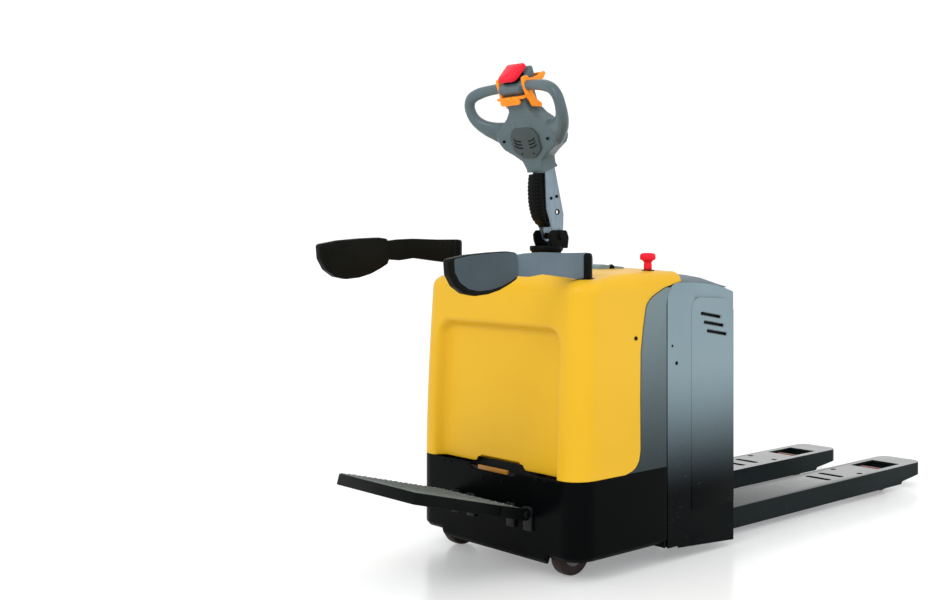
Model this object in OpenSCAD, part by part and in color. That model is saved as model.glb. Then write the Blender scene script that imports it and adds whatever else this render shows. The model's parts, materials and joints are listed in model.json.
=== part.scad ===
// Electric pallet truck with a fold-up operator platform, side arms and a steering tiller.
// +X runs to the fork tips, +Y to the truck's left, +Z up. Millimetres.
// Places are worked out from the fork heel (x = 0) and the floor, then moved by origin_x.

/* [Chassis] */
// Width across the base
truck_w = 720; // [690:1:760]
// Length of the drive section, rear face to the lift gap
drive_len = 339; // [330:1:380]
// Length of the battery section, lift gap to the fork heel
batt_len = 283; // [275:1:330]
// Height of the black base skirt's top edge
skirt_top = 271; // [262:1:290]
// Height of the black base skirt's bottom edge
skirt_low = 39; // [30:1:50]
// Height of the drive cover's flat top
cover_top = 818; // [812:1:830]
// Corner radius of the base at the operator's end
corner_r = 105; // [70:1:120]
// Wall of the moulded covers
shell_t = 5; // [4:0.5:8]
// Radius of the cover's top edge
shoulder_r = 46; // [35:1:55]
// Gap between the drive section and the part that lifts
lift_gap = 5; // [4:0.5:8]

/* [Forks] */
// Length of the forks
fork_len = 1150; // [1000:10:1220]
// Width of one fork
fork_w = 175; // [165:1:185]
// Distance across both forks
fork_spread = 560; // [540:1:680]
// Height of the lowered forks' top
fork_h = 85; // [84:1:90]
// Depth of a fork's side wall
fork_deep = 65; // [60:1:66]
// Plate of the forks
fork_t = 8; // [6:0.5:10]
// Lift stroke
lift_stroke = 120; // [100:1:130]
// Diameter of a load roller
roller_d = 80; // [76:1:82]
// Width of a load roller
roller_w = 96; // [80:1:100]

/* [Drive] */
// Diameter of the drive wheel
wheel_d = 230; // [210:1:240]
// Width of the drive wheel
wheel_w = 75; // [65:1:80]
// Distance of the steering axis from the fork heel
steer_back = 422; // [421:1:430]
// Diameter of a castor wheel
castor_d = 110; // [100:1:114]
// Distance of a castor's swivel axis in from the truck's side
castor_in = 115; // [110:1:125]
// Running clearance of a shaft in its bore
fit = 0.05; // [0.03:0.01:0.08]

/* [Operator station] */
// Length of the platform
plat_len = 382; // [330:1:400]
// Width of the platform
plat_w = 360; // [320:1:420]
// Thickness of the platform
plat_t = 34; // [30:1:38]
// Tilt of the sprung platform with nobody on it
plat_tilt = 15.7; // [0:0.1:18]
// Height of the platform's hinge pin
plat_pin_z = 170; // [160:1:180]
// Distance of a side arm's post in from the truck's side
post_in = 67; // [60:1:80]
// Length of a side arm, post to tip
arm_len = 460; // [400:1:480]
// Height of the right arm's top edge
arm_top = 878; // [874:1:900]
// How much higher the left arm stands
arm_step = 33; // [25:1:40]
// Diameter of an arm's post
post_d = 34; // [30:1:36]

/* [Tiller] */
// Height of the tiller's tilt pin
tiller_pin_z = 920; // [910:1:935]
// Length of the tiller's column, pin to head
column_len = 197; // [180:1:230]
// Lean of the column towards the operator
column_lean = 9.9; // [5:0.1:12]
// Lean of the head towards the operator
head_lean = 20; // [10:0.5:25]
// Half of the width across the hand loops
head_half = 198; // [180:1:205]
// Height of the head above its collar
head_len = 318; // [300:1:330]

/* [Hidden] */
$fn = 48;

// Stations along X, measured from the fork heel
half = truck_w / 2;
gap_x = -batt_len;                     // middle of the lift gap
rear_x = gap_x - drive_len;            // rear face of the base
front_x = gap_x - lift_gap / 2;        // fork-side end of the drive section
carry_x = gap_x + lift_gap / 2;        // rear end of the side panels that lift
box_x = -200;                          // rear wall of the battery tray
edge_x = gap_x - 106;                  // side edge of the yellow cover
nose_x = gap_x + 65;                   // tip of the cover's overhang
recess_half = half - 98;                // half of the width of the cover's recess
nose_half = half - 18;                 // the overhang stays inside the lifting side panels
plat_pin_x = rear_x - 24;
plat_in = 14;                          // platform behind its pin
plat_out = plat_len - plat_in;
far_x = plat_pin_x - plat_out * cos(plat_tilt) - plat_t / 2 * sin(plat_tilt);
origin_x = -(far_x + fork_len) / 2;

bulk_x = front_x - 14;                 // bulkhead at the fork side of the drive section

// Heights and plates
plate = 8;
deck_z = 290;                          // underside of the turntable plate
deck_top = deck_z + 12;
ring_h = 18;
flange_z = deck_top + ring_h + 0.4;
flange_top = flange_z + 12;
panel_top = 766;
tray_z = fork_h + 3;
tray_top = 690;
lid_z = panel_top + 1;
lid_pin_x = 5;
lug_y = half - 110;                    // inner face of the lid's hinge lugs
lid_pin_z = 768;
lid_top = 808;
skin = 15;                             // depth of the lifting side panels
col_gap = 1.5;

// Castors
castor_x = gap_x - 232;
trail = 30;
castor_w = 38;
castor_y = half - castor_in;

// Side arms
post_x = gap_x - 248;
post_y = half - post_in;
sleeve_low = 700;
sleeve_top = 794;
sleeve_t = 3;
socket_r = post_d / 2 + sleeve_t + 6;
arm_rise = 62;                         // how far an arm rises as it folds in
post_foot = sleeve_low - arm_rise + 2;
pad_len = 218;
band_t = 16;
pad_t = 30;

// Load rollers and their linkage
roller_x = fork_len - 202;
pivot_x = roller_x - 158;
pivot_z = 52;
roller_z = roller_d / 2;
lever_x = 15;
lever_z = -24;
lever_pin = 4;
lever_play = 4.6;                      // the open pivot's clearance
crank_x = -60;
fork_y = (fork_spread - fork_w) / 2;   // middle of a fork
pin_r = 10;
heel_step = 2;                         // the forks' tops are lower where the heel stands on them
rod_r = 6;

// Tiller
tiller_pin_x = -400;
slope = tan(head_lean - column_lean);
ear_y = 30;

module place() { translate([origin_x, 0, 0]) children(); }
module both() { children(); mirror([0, 1, 0]) children(); }
module side(s) { if (s < 0) mirror([0, 1, 0]) children(); else children(); }
module block(a, b) { translate(a) cube([b.x - a.x, b.y - a.y, b.z - a.z]); }
// Round bar along Y from y0 to y1
module bar_y(x, z, r, y0, y1) { translate([x, y0, z]) rotate([-90, 0, 0]) cylinder(h = y1 - y0, r = r); }
// Round bar along X from x0 to x1
module bar_x(y, z, r, x0, x1) { translate([x0, y, z]) rotate([0, 90, 0]) cylinder(h = x1 - x0, r = r); }
module post(x, y, z0, z1, r) { translate([x, y, z0]) cylinder(h = z1 - z0, r = r); }
// Outline drawn in X and Z, with its thickness along Y from y0 to y1
module xz(y0, y1) { translate([0, y1, 0]) rotate([90, 0, 0]) linear_extrude(y1 - y0) children(); }
// Plan outline with the two operator-side corners rounded
module plan(rear, front, h, r) {
    translate([rear + r, -h]) square([front - rear - r, 2 * h]);
    translate([rear, r - h]) square([r + 0.1, 2 * (h - r)]);
    for (s = [-1, 1]) translate([rear + r, s * (h - r)]) circle(r, $fn = 64);
}
// Straight round bar between two points
module strut(a, b, r) {
    d = b - a;
    l = norm(d);
    translate(a) rotate([0, acos(d.z / l), atan2(d.y, d.x)]) cylinder(h = l, r = r, $fn = 32);
}

// ---- Drive section ----
module chassis_frame() place() color("dimgray") {
    difference() {
        translate([0, 0, deck_z]) linear_extrude(deck_top - deck_z)
            plan(rear_x + 45, bulk_x, half - 18, corner_r - 12);
        post(-steer_back, 0, deck_z - 1, deck_top + 1, 108);
    }
    both() block([rear_x + 120, half - 18 - plate, 64], [bulk_x, half - 18, deck_z]);
    // Rear cross plate, with the bumper plate that the platform's brackets bolt to
    block([rear_x + 45, -150, 64], [rear_x + 45 + plate, 150, deck_z]);
    both() block([rear_x + 6.5, 142, 64], [rear_x + 45, 150, 262]);
    block([rear_x + 6.5, -180, 64], [rear_x + 6.5 + plate, 180, 262]);
    both() difference() {
        block([-570, castor_y - 60, 200], [-430, half - 18 - plate, 208]);
        post(castor_x, castor_y, 199, 209, 14 + fit);
    }
    both() block([-570, castor_y - 60, 208], [-562, castor_y + 40, deck_z]);
}
module base_skirt() place() color("#1c1d1f") difference() {
    translate([0, 0, skirt_low]) linear_extrude(skirt_top - skirt_low)
        plan(rear_x, edge_x, half, corner_r);
    translate([0, 0, skirt_low - 1]) linear_extrude(skirt_top - skirt_low + 2)
        plan(rear_x + shell_t + 1, edge_x + 1, half - shell_t - 1, corner_r - shell_t);
    // The sides stand a little higher off the floor than the middle of the rear
    both() block([rear_x - 1, 235, 0], [edge_x + 1, half + 1, 58]);
    block([rear_x + 40, -235, 0], [edge_x + 1, 235, 58]);
    // Notch over the platform's hinge
    block([rear_x - 1, -100, skirt_top - 16], [rear_x + 20, 100, skirt_top + 1]);
}
module cover_body(d) {
    top = cover_top - d;
    low = skirt_top + 0.5;
    r = corner_r - d;
    hull() {
        translate([0, 0, low]) linear_extrude(0.1)
            plan(rear_x + d, nose_x - d, half - d, r);
        translate([0, 0, top - shoulder_r]) linear_extrude(0.1)
            plan(rear_x + 24 + d, nose_x - d, half - 5 - d, r);
        translate([0, 0, top - 0.3 * shoulder_r]) linear_extrude(0.1)
            plan(rear_x + 36 + d, nose_x - d, half - 18 - d, r);
        translate([0, 0, top - 0.1]) linear_extrude(0.1)
            plan(rear_x + 62 + d, nose_x - d, half - 48 - d, r);
    }
}
// Side outline of the cover's fork-side edge, which sweeps forward near the top
module cover_edge(d) polygon([[rear_x - 30, 200], [edge_x - d, 200], [edge_x - d, 467],
    [edge_x + 3 - d, 600], [edge_x + 14 - d, 668], [edge_x + 25 - d, 727 + d / 2],
    [edge_x + 46 - d, 751 + d], [edge_x + 103, 777 + d], [nose_x, 788 + d],
    [nose_x, 900], [rear_x - 30, 900]]);
module recess(d) hull() for (s = [-1, 1]) {
    translate([rear_x - 40, s * (recess_half + d - 20), 250]) cube([70 + d, 0.1, 0.1]);
    translate([rear_x - 40, s * (recess_half + d - 40), 250]) cube([76 + d, 0.1, 0.1]);
    translate([rear_x - 40, s * (recess_half + d), 640 + d]) rotate([0, 90, 0])
        cylinder(h = 70 + d, r = 1, $fn = 16);
    translate([rear_x - 40, s * (recess_half + d - 34), 680 + d]) rotate([0, 90, 0])
        cylinder(h = 70 + d, r = 1, $fn = 16);
}
module drive_cover() place() color("#f2b21b") difference() {
    union() {
        difference() { cover_body(0); cover_body(shell_t); }
        intersection() { cover_body(0.5); recess(4); }
    }
    recess(0);
    xz(-half - 1, half + 1) difference() {
        translate([rear_x - 30, 200]) square([700, 700]);
        cover_edge(0);
    }
    both() block([front_x - 40, nose_half, 700], [nose_x + 1, half + 1, 900]);
    block([rear_x - 1, -100, 200], [rear_x + 60, 100, skirt_top + 8]);
    post(-steer_back, 0, 700, 900, 62);
    both() post(post_x, post_y, 700, 900, socket_r + 1);
    post(stop_x, stop_y, 700, 900, 14);
}
module side_columns() place() color("#3b3f45") both() {
    difference() {
        xz(half - 8, half) difference() {
            translate([edge_x + 0.5, 42]) square([front_x - edge_x - 0.5, 726]);
            cover_edge(-col_gap);
        }
    }
    block([front_x - 6, half - 60, 42], [front_x, half - 8, 740]);
}
rail_y = half - 155;
module mast_frame() place() color("#55585c") {
    // Bulkhead across the drive section, and the foot under the lift cylinder and the rails
    block([bulk_x, 40 - half, 64], [bulk_x + plate, half - 40, 770]);
    block([bulk_x + plate, -250, 64], [bulk_x + 84, 250, 72]);
    both() difference() {
        block([bulk_x + plate, rail_y - 30, 72], [front_x + 52, rail_y + 30, 770]);
        block([front_x + 6, rail_y - 22, 80], [front_x + 44, rail_y + 22, 771]);
        block([front_x + 16, rail_y - 31, 80], [front_x + 34, rail_y - 20, 771]);
    }
}
cyl_x = gap_x + 36;
module lift_cylinder() place() color("#2b2d30") difference() {
    union() {
        post(cyl_x, 0, 72, 380, 30);
        post(cyl_x, 0, 360, 392, 33);
        strut([cyl_x, 28, 96], [cyl_x, 52, 96], 9);
    }
    post(cyl_x, 0, 90, 400, 18 + fit);
}
module hydraulic_tank() place() color("#7d8288") {
    block([rear_x + 47, 130, deck_top], [-470, 250, 470]);
    post(-530, 190, 470, 486, 18);
}
module pump_motor() place() color("#3a3c3f") {
    bar_x(190, 380, 52, -470, -330);
    bar_x(190, 380, 30, -330, -316);
}
module electric_panel() place() color("#c9ccd0") {
    block([rear_x + 47, -260, deck_top], [rear_x + 55, -110, 560]);
    block([rear_x + 55, -250, 330], [-520, -120, 480]);
    block([rear_x + 55, -215, 500], [-530, -165, 552]);
}
module turntable_bearing() place() color("#9aa0a6") difference() {
    post(-steer_back, 0, deck_top, deck_top + ring_h, 118);
    post(-steer_back, 0, deck_top - 1, deck_top + ring_h + 1, 100 + fit);
}
module dash_console() place() color("#4a4e54") difference() {
    xz(-150, 150) polygon([[-356, cover_top], [-250, cover_top], [-250, cover_top + 8],
        [-255, cover_top + 11], [-338, cover_top + 20], [-352, cover_top + 14]]);
    post(-300, -60, cover_top + 2, cover_top + 30, 6);
}
module ignition_key() place() color("silver") {
    post(-300, -60, cover_top + 2, cover_top + 18, 5.5);
    block([-301.2, -68, cover_top + 18], [-298.8, -52, cover_top + 38]);
}
stop_x = gap_x + 21;
stop_y = 100 - half;
module stop_switch_base() place() color("#222426") difference() {
    union() {
        post(stop_x, stop_y, cover_top - 46, cover_top, 13.8);
        post(stop_x, stop_y, cover_top, cover_top + 5, 19);
    }
    post(stop_x, stop_y, cover_top - 30, cover_top + 6, 8 + fit);
}
module stop_button() place() color("#d8203c") {
    post(stop_x, stop_y, cover_top - 20, cover_top + 16, 8);
    post(stop_x, stop_y, cover_top + 15, cover_top + 44, 12.5);
    translate([stop_x, stop_y, cover_top + 40]) rotate_extrude() difference() {
        union() {
            square([23, 8]);
            translate([19, 10]) circle(4);
            translate([0, 4]) square([19, 10]);
        }
        translate([-9, -20]) square([9, 60]);
    }
}
brk_y = 84;
module platform_brackets() place() color("#2a2c2e") both() for (y = [brk_y, brk_y + 74])
    difference() {
        union() {
            bar_y(plat_pin_x, plat_pin_z, 15, y, y + 12);
            block([plat_pin_x, y, plat_pin_z - 15], [rear_x - 0.2, y + 12, plat_pin_z + 15]);
            block([rear_x - 8.2, y - 10, plat_pin_z - 50], [rear_x - 0.2, y + 22, plat_pin_z + 15]);
        }
        bar_y(plat_pin_x, plat_pin_z, 8 + fit, y - 1, y + 13);
    }
module platform_pin() place() color("silver") bar_y(plat_pin_x, plat_pin_z, 8, -plat_w / 2 - 4, plat_w / 2 + 4);
module arm_sockets() place() color("#606468") both() difference() {
    post(post_x, post_y, deck_top, sleeve_top, socket_r);
    post(post_x, post_y, sleeve_low - 80, sleeve_top + 1, post_d / 2 + sleeve_t + fit);
}
module cover_screws() place() color("#c4c8cc") both() {
    bar_y(edge_x - 16, 640, 6, half - 3.6, half - 1.4);
    // Clear of the platform when it is folded up
    for (y = [plat_w / 2 + 14, plat_w / 2 + 50]) bar_x(y, 262, 5, rear_x - 2.5, rear_x);
}

// ---- Steered drive unit ----
module drive_gearbox() place() translate([-steer_back, 0, 0]) color("#4d5156") {
    post(0, 0, deck_z - 30, deck_z - 1, 104);
    post(0, 0, deck_z - 2, flange_top, 100);
    post(0, 0, flange_z, flange_top, 116);
    block([-46, wheel_w / 2 + 5, wheel_d / 2], [46, wheel_w / 2 + 50, deck_z - 20]);
    bar_y(0, wheel_d / 2, 60, wheel_w / 2 + 5, wheel_w / 2 + 50);
    bar_y(0, wheel_d / 2, 20, -wheel_w / 2 - 4, wheel_w / 2 + 6);
}
module drive_motor() place() color("#303235") {
    post(-steer_back, 0, flange_top, flange_top + 170, 74);
    post(-steer_back, 0, flange_top + 170, flange_top + 196, 50);
}
module steer_bridge() place() translate([-steer_back, 0, 0]) color("#5b5f64") {
    both() block([-30, 92, flange_top], [30, 104, flange_top + 224]);
    block([-36, -104, flange_top + 212], [36, 104, flange_top + 224]);
    post(0, 0, flange_top + 224, 880, 32);
}
module tiller_base() place() color("#26282b") difference() {
    union() {
        difference() {
            post(-steer_back, 0, cover_top + 3, 880, 58);
            post(-steer_back, 0, cover_top + 2, 881, 32);
        }
        post(-steer_back, 0, 880, 892, 60);
        both() block([-452, ear_y, 890], [-366, ear_y + 14, tiller_pin_z + 17]);
    }
    bar_y(tiller_pin_x, tiller_pin_z, 9 + fit, -60, 60);
}
module tiller_pin() place() color("silver") bar_y(tiller_pin_x, tiller_pin_z, 9, -47, 47);
module drive_hub() place() translate([-steer_back, 0, wheel_d / 2]) color("#8b8f94")
    difference() {
        bar_y(0, 0, wheel_d / 2 - 22, -wheel_w / 2 + 3, wheel_w / 2 - 3);
        bar_y(0, 0, 20 + fit, -wheel_w, wheel_w);
        for (a = [0:60:300]) rotate([0, a, 0]) bar_y(58, 0, 11, -wheel_w, wheel_w);
    }
module drive_tyre() place() translate([-steer_back, 0, wheel_d / 2]) color("#7a2f26")
    difference() {
        bar_y(0, 0, wheel_d / 2, -wheel_w / 2, wheel_w / 2);
        bar_y(0, 0, wheel_d / 2 - 22, -wheel_w, wheel_w);
    }

// ---- Castors ----
module castor_fork(s) place() side(s) translate([castor_x, castor_y, 0]) color("#8d9297") {
    post(0, 0, 166, 199.6, 34);
    post(0, 0, 198, 212, 14);
    post(0, 0, 208.4, 214, 20);
    block([-trail - 20, -30, 156], [22, 30, 167]);
    both() difference() {
        union() {
            block([-trail - 20, 24, castor_d / 2], [-trail + 20, 30, 158]);
            bar_y(-trail, castor_d / 2, 20, 24, 30);
        }
    }
    bar_y(-trail, castor_d / 2, 8, -26, 26);
}
module castor_fork_right() castor_fork(-1);
module castor_fork_left() castor_fork(1);
module castor_wheel(s) place() side(s) translate([castor_x - trail, castor_y, castor_d / 2])
    color("#8a3a2c") difference() {
        bar_y(0, 0, castor_d / 2, -castor_w / 2, castor_w / 2);
        bar_y(0, 0, 8 + fit, -castor_w, castor_w);
    }
module castor_wheel_right() castor_wheel(-1);
module castor_wheel_left() castor_wheel(1);

// ---- Platform ----
module on_platform() translate([plat_pin_x, 0, plat_pin_z]) rotate([0, plat_tilt, 0]) children();
module platform_frame() place() on_platform() color("#232527") difference() {
    union() {
        block([-plat_out, -plat_w / 2, -plat_t / 2], [-20, plat_w / 2, plat_t / 2 - 5]);
        bar_y(0, 0, 15, -brk_y + 0.5, brk_y - 0.5);
        both() bar_y(0, 0, 15, brk_y + 12.5, brk_y + 73.5);
        block([-21, -brk_y + 0.5, -plat_t / 2], [0, brk_y - 0.5, plat_t / 2 - 5]);
        both() block([-21, brk_y + 12.5, -plat_t / 2], [0, brk_y + 73.5, plat_t / 2 - 5]);
    }
    block([-plat_out + 6, 6 - plat_w / 2, -plat_t], [-26, plat_w / 2 - 6, plat_t / 2 - 9]);
    bar_y(0, 0, 8 + fit, -plat_w, plat_w);
}
module platform_mat() place() on_platform() color("#3d4044")
    block([-plat_out + 2, 2 - plat_w / 2, plat_t / 2 - 5], [-24, plat_w / 2 - 2, plat_t / 2]);

// ---- Side arms ----
function arm_z(s) = arm_top + (s > 0 ? arm_step : 0);
module arm_sleeve(s) place() color("#b08d57") side(s) difference() {
    post(post_x, post_y, sleeve_low, sleeve_top, post_d / 2 + sleeve_t);
    post(post_x, post_y, sleeve_low - 1, sleeve_top + 1, post_d / 2 + fit);
}
module arm_sleeve_right() arm_sleeve(-1);
module arm_sleeve_left() arm_sleeve(1);
pad_x = post_x - arm_len + pad_len;
module side_arm(s) place() color("#17181a") side(s) {
    z = arm_z(s);
    post(post_x, post_y, post_foot, z - 2, post_d / 2);
    xz(post_y - band_t / 2, post_y + band_t / 2) polygon([[post_x, z - 68], [post_x - 31, z - 66],
        [post_x - 155, z - 56], [pad_x - 6, z - 64], [pad_x - 6, z - 2], [post_x - 155, z],
        [post_x, z - 2]]);
    block([post_x - arm_len + 12, post_y - 3, z - 60], [pad_x, post_y + 3, z - 22]);
}
module side_arm_right() side_arm(-1);
module side_arm_left() side_arm(1);
module arm_pad(s) place() color("#101113") side(s) difference() {
    z = arm_z(s);
    xz(post_y - pad_t / 2, post_y + pad_t / 2) hull() {
        translate([pad_x - 6, z - 4]) circle(4, $fn = 24);
        translate([pad_x - 6, z - 62]) circle(4, $fn = 24);
        translate([post_x - arm_len + 7, z - 16]) circle(7, $fn = 24);
        translate([post_x - arm_len + 62, z - 50]) circle(55, $fn = 48);
        translate([pad_x - 90, z - 62]) circle(40, $fn = 48);
    }
    block([post_x - arm_len + 12, post_y - 3, z - 60], [pad_x + 9, post_y + 3, z - 22]);
    xz(post_y - band_t / 2, post_y + band_t / 2)
        translate([pad_x - 6, z - 80]) square([40, 90]);
}
module arm_pad_right() arm_pad(-1);
module arm_pad_left() arm_pad(1);

// ---- Forks and the lifting battery section ----
module fork_plan() {
    translate([-190, -fork_w / 2]) square([fork_len + 190 - 40, fork_w]);
    translate([fork_len - 41, 40 - fork_w / 2]) square([41, fork_w - 80]);
    for (s = [-1, 1]) translate([fork_len - 40, s * (fork_w / 2 - 40)]) circle(40);
}
module fork(s) place() color("#202224") side(s) translate([0, fork_y, 0]) {
    low = fork_h - fork_deep;
    inner = fork_w / 2 - fork_t;
    difference() {
        intersection() {
            xz(-fork_w, fork_w) polygon([[-190, low], [fork_len - 140, low],
                [fork_len - 132, low + 9], [fork_len, low + 23], [fork_len, fork_h],
                [3, fork_h], [1, fork_h - heel_step], [-190, fork_h - heel_step]]);
            linear_extrude(fork_h + 1) fork_plan();
        }
        block([-200, -inner, low - 1], [roller_x + 100, inner, fork_h - fork_t]);
        block([roller_x - 46, -60, 0], [roller_x + 92, 60, fork_h + 1]);
        for (x = [pivot_x - 157, pivot_x - 85]) {
            block([x - 12, -40, 50], [x + 12, 40, fork_h + 1]);
            both() post(x, 40, 50, fork_h + 1, 12);
        }
        both() post(pivot_x + 5, 57, 60, fork_h + 1, 11);
        block([crank_x - 30, -inner - 20, low - 1], [crank_x + 30, -inner + 1, fork_h - 14]);
    }
    bar_y(pivot_x, pivot_z, pin_r, -inner - 4, inner + 4);
    difference() {
        block([400, -26, low], [410, 26, fork_h - fork_t + 1]);
        bar_x(0, pivot_z + lever_z, rod_r + fit, 399, 411);
    }
}
module fork_right() fork(-1);
module fork_left() fork(1);
module fork_heel() place() color("#26282a") {
    block([-12, -half + skin + 0.5, fork_h - heel_step], [0, half - skin - 0.5, tray_top + 40]);
    block([-190, -fork_y + fork_w / 2, 60], [-178, fork_y - fork_w / 2, fork_h - heel_step]);
    block([-190, -half + skin + 0.5, fork_h - heel_step], [-12, half - skin - 0.5, tray_z]);
    // Bearings of the lift crank
    both() difference() {
        block([crank_x - 18, 70, pivot_z - 18], [crank_x + 18, 82, fork_h - heel_step]);
        bar_y(crank_x, pivot_z, 12 + fit, 69, 83);
    }
    // Hinge lugs of the battery lid
    both() for (y = [lug_y, lug_y + 29]) {
        block([-1, y, 700], [lid_pin_x + 6, y + 11, lid_pin_z]);
        bar_y(lid_pin_x, lid_pin_z, 6, y, y + 11);
    }
    both() bar_y(lid_pin_x, lid_pin_z, 3, lug_y, lug_y + 40);
}
module battery_tray() place() color("#2e3033") {
    block([box_x + 10, -half + skin, tray_z], [-12, half - skin, tray_z + 5]);
    block([box_x, -half + skin, tray_z], [box_x + 10, half - skin, tray_top]);
    both() block([box_x + 10, half - skin - 6, tray_z + 5], [-12, half - skin, tray_top]);
    // Shoes that run in the guide rails
    both() for (z = [140, 480]) block([front_x + 17, rail_y - 70, z], [front_x + 33, rail_y + 21.5, z + 90]);
    both() for (z = [140, 480]) block([front_x + 17, rail_y - 70, z], [box_x, rail_y - 40, z + 90]);
    // Head plate over the lift rod
    block([cyl_x - 24, -60, 640], [box_x, 60, 652]);
}
module battery_block() place() color("#1e2a3a") {
    block([box_x + 16, -half + skin + 12, tray_z + 5], [-18, half - skin - 12, 600]);
    for (i = [-5:3]) post(-100, i * (half - 80) / 5, 600, 618, 17);
}
module battery_plug() place() color("#b3262b") block([-140, half - 130, 600], [-60, half - 50, 644]);
module lift_rod() place() color("silver") post(cyl_x, 0, 230 - lift_stroke, 640, 18);
vents = [[-145, 697], [-132, 671], [-119, 645]];
module side_panel(s) place() color("#33373c") side(s) difference() {
    xz(half - skin, half) union() {
        polygon([[carry_x, 42], [-240, 41], [0, 17], [0, panel_top], [carry_x + 46, panel_top],
            [carry_x, panel_top - 46]]);
        translate([carry_x + 46, panel_top - 46]) circle(46);
    }
    for (v = vents) translate([v.x, half, v.y]) rotate([0, 10, 0]) block([0, -30, -5], [90, 1, 5]);
    block([carry_x - 1, half - skin - 1, 0], [-12, half - skin + 9, panel_top - 60]);
}
module side_panel_right() side_panel(-1);
module side_panel_left() side_panel(1);
module lid_arc(d) difference() {
    hull() for (s = [-1, 1]) {
        translate([s * (half - 1 - d), lid_z]) circle(0.6, $fn = 12);
        translate([s * (half - 52), lid_top - 44]) circle(44 - d, $fn = 48);
    }
    translate([-half, lid_z - 100]) square([2 * half, 99.4]);
}
module battery_lid() place() color("#3a3d42") difference() {
    union() {
        difference() {
            translate([box_x + 4, 0, 0]) rotate([90, 0, 90]) linear_extrude(-box_x - 6) lid_arc(0);
            translate([box_x + 12, 0, -1]) rotate([90, 0, 90]) linear_extrude(-box_x - 22) lid_arc(6);
            block([box_x + 12, 8 - half, lid_z - 2], [-10, half - 8, lid_z + 2]);
        }
        both() {
            bar_y(lid_pin_x, lid_pin_z, 6, lug_y + 12, lug_y + 28);
            block([-3, lug_y + 12, lid_pin_z], [lid_pin_x, lug_y + 28, lid_pin_z + 6]);
        }
    }
    both() bar_y(lid_pin_x, lid_pin_z, 3 + fit, lug_y + 11, lug_y + 29);
}
module lever(x) {
    for (y = [-14, 8]) {
        bar_y(x, pivot_z, 14, y, y + 6);
        bar_y(x + lever_x, pivot_z + lever_z, 9, y, y + 6);
        xz(y, y + 6) polygon([[x - 12, pivot_z - 6], [x + lever_x - 8, pivot_z + lever_z - 2],
            [x + lever_x + 8, pivot_z + lever_z + 2], [x + 12, pivot_z]]);
    }
    bar_y(x + lever_x, pivot_z + lever_z, lever_pin, -14, 14);
}
module lift_crank() place() color("#6b6f74") {
    bar_y(crank_x, pivot_z, 12, -fork_y - 16, fork_y + 16);
    for (s = [-1, 1]) translate([0, s * fork_y, 0]) lever(crank_x);
}
module push_rods() place() color("#9ba0a5") both() translate([0, fork_y, 0]) {
    z = pivot_z + lever_z;
    bar_x(0, z, rod_r, crank_x + lever_x + 10, pivot_x + lever_x - 10);
    for (x = [crank_x + lever_x, pivot_x + lever_x]) difference() {
        bar_y(x, z, lever_pin + lever_play + 3, -7, 7);
        bar_y(x, z, lever_pin + lever_play, -8, 8);
    }
}
module roller_arm(s) place() color("#5f6368") side(s) translate([0, fork_y, 0]) difference() {
    union() {
        both() {
            bar_y(pivot_x, pivot_z, 18, 50, 57);
            bar_y(roller_x, roller_z, 18, 50, 57);
            xz(50, 57) polygon([[pivot_x + 1.4, pivot_z + 18], [roller_x + 1.4, roller_z + 18],
                [roller_x - 1.4, roller_z - 18], [pivot_x - 1.4, pivot_z - 18]]);
        }
        both() bar_y(pivot_x, pivot_z, 16, 8, 50);
        bar_y(roller_x, roller_z, pin_r, -50, 50);
        lever(pivot_x);
    }
    bar_y(pivot_x, pivot_z, pin_r + fit, -60, 60);
}
module roller_arm_right() roller_arm(-1);
module roller_arm_left() roller_arm(1);
module load_roller(s) place() color("#8a3a2c") side(s) translate([0, fork_y, 0]) difference() {
    bar_y(roller_x, roller_z, roller_d / 2, -roller_w / 2, roller_w / 2);
    bar_y(roller_x, roller_z, pin_r + fit, -roller_w, roller_w);
}
module load_roller_right() load_roller(-1);
module load_roller_left() load_roller(1);

// ---- Tiller ----
module on_column() translate([tiller_pin_x, 0, tiller_pin_z]) rotate([0, -column_lean, 0]) children();
module on_head() translate([tiller_pin_x - column_len * sin(column_lean), 0,
    tiller_pin_z + column_len * cos(column_lean)]) rotate([0, -head_lean, 0]) children();
module tiller_plates() place() on_column() color("#9aa3ab") both() difference() {
    xz(23, 29) union() {
        circle(17);
        polygon([[-17, 0], [-26, 50], [-32, 85], [-28, 120], [-17, column_len - 17 * slope],
            [20, column_len + 20 * slope], [30, 60], [17, 0]]);
    }
    bar_y(0, 0, 9 + fit, 0, 60);
    bar_y(8, 70, 6, 0, 60);
}
module column_cover() place() on_column() color("#0e0f10") xz(-22.5, 22.5)
    polygon([[-30, 30], [-52, 60], [-60, 110], [-55, 150], [-44, column_len - 44 * slope - 0.2],
        [14, column_len + 14 * slope - 0.2], [10, 100], [2, 30]]);
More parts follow.
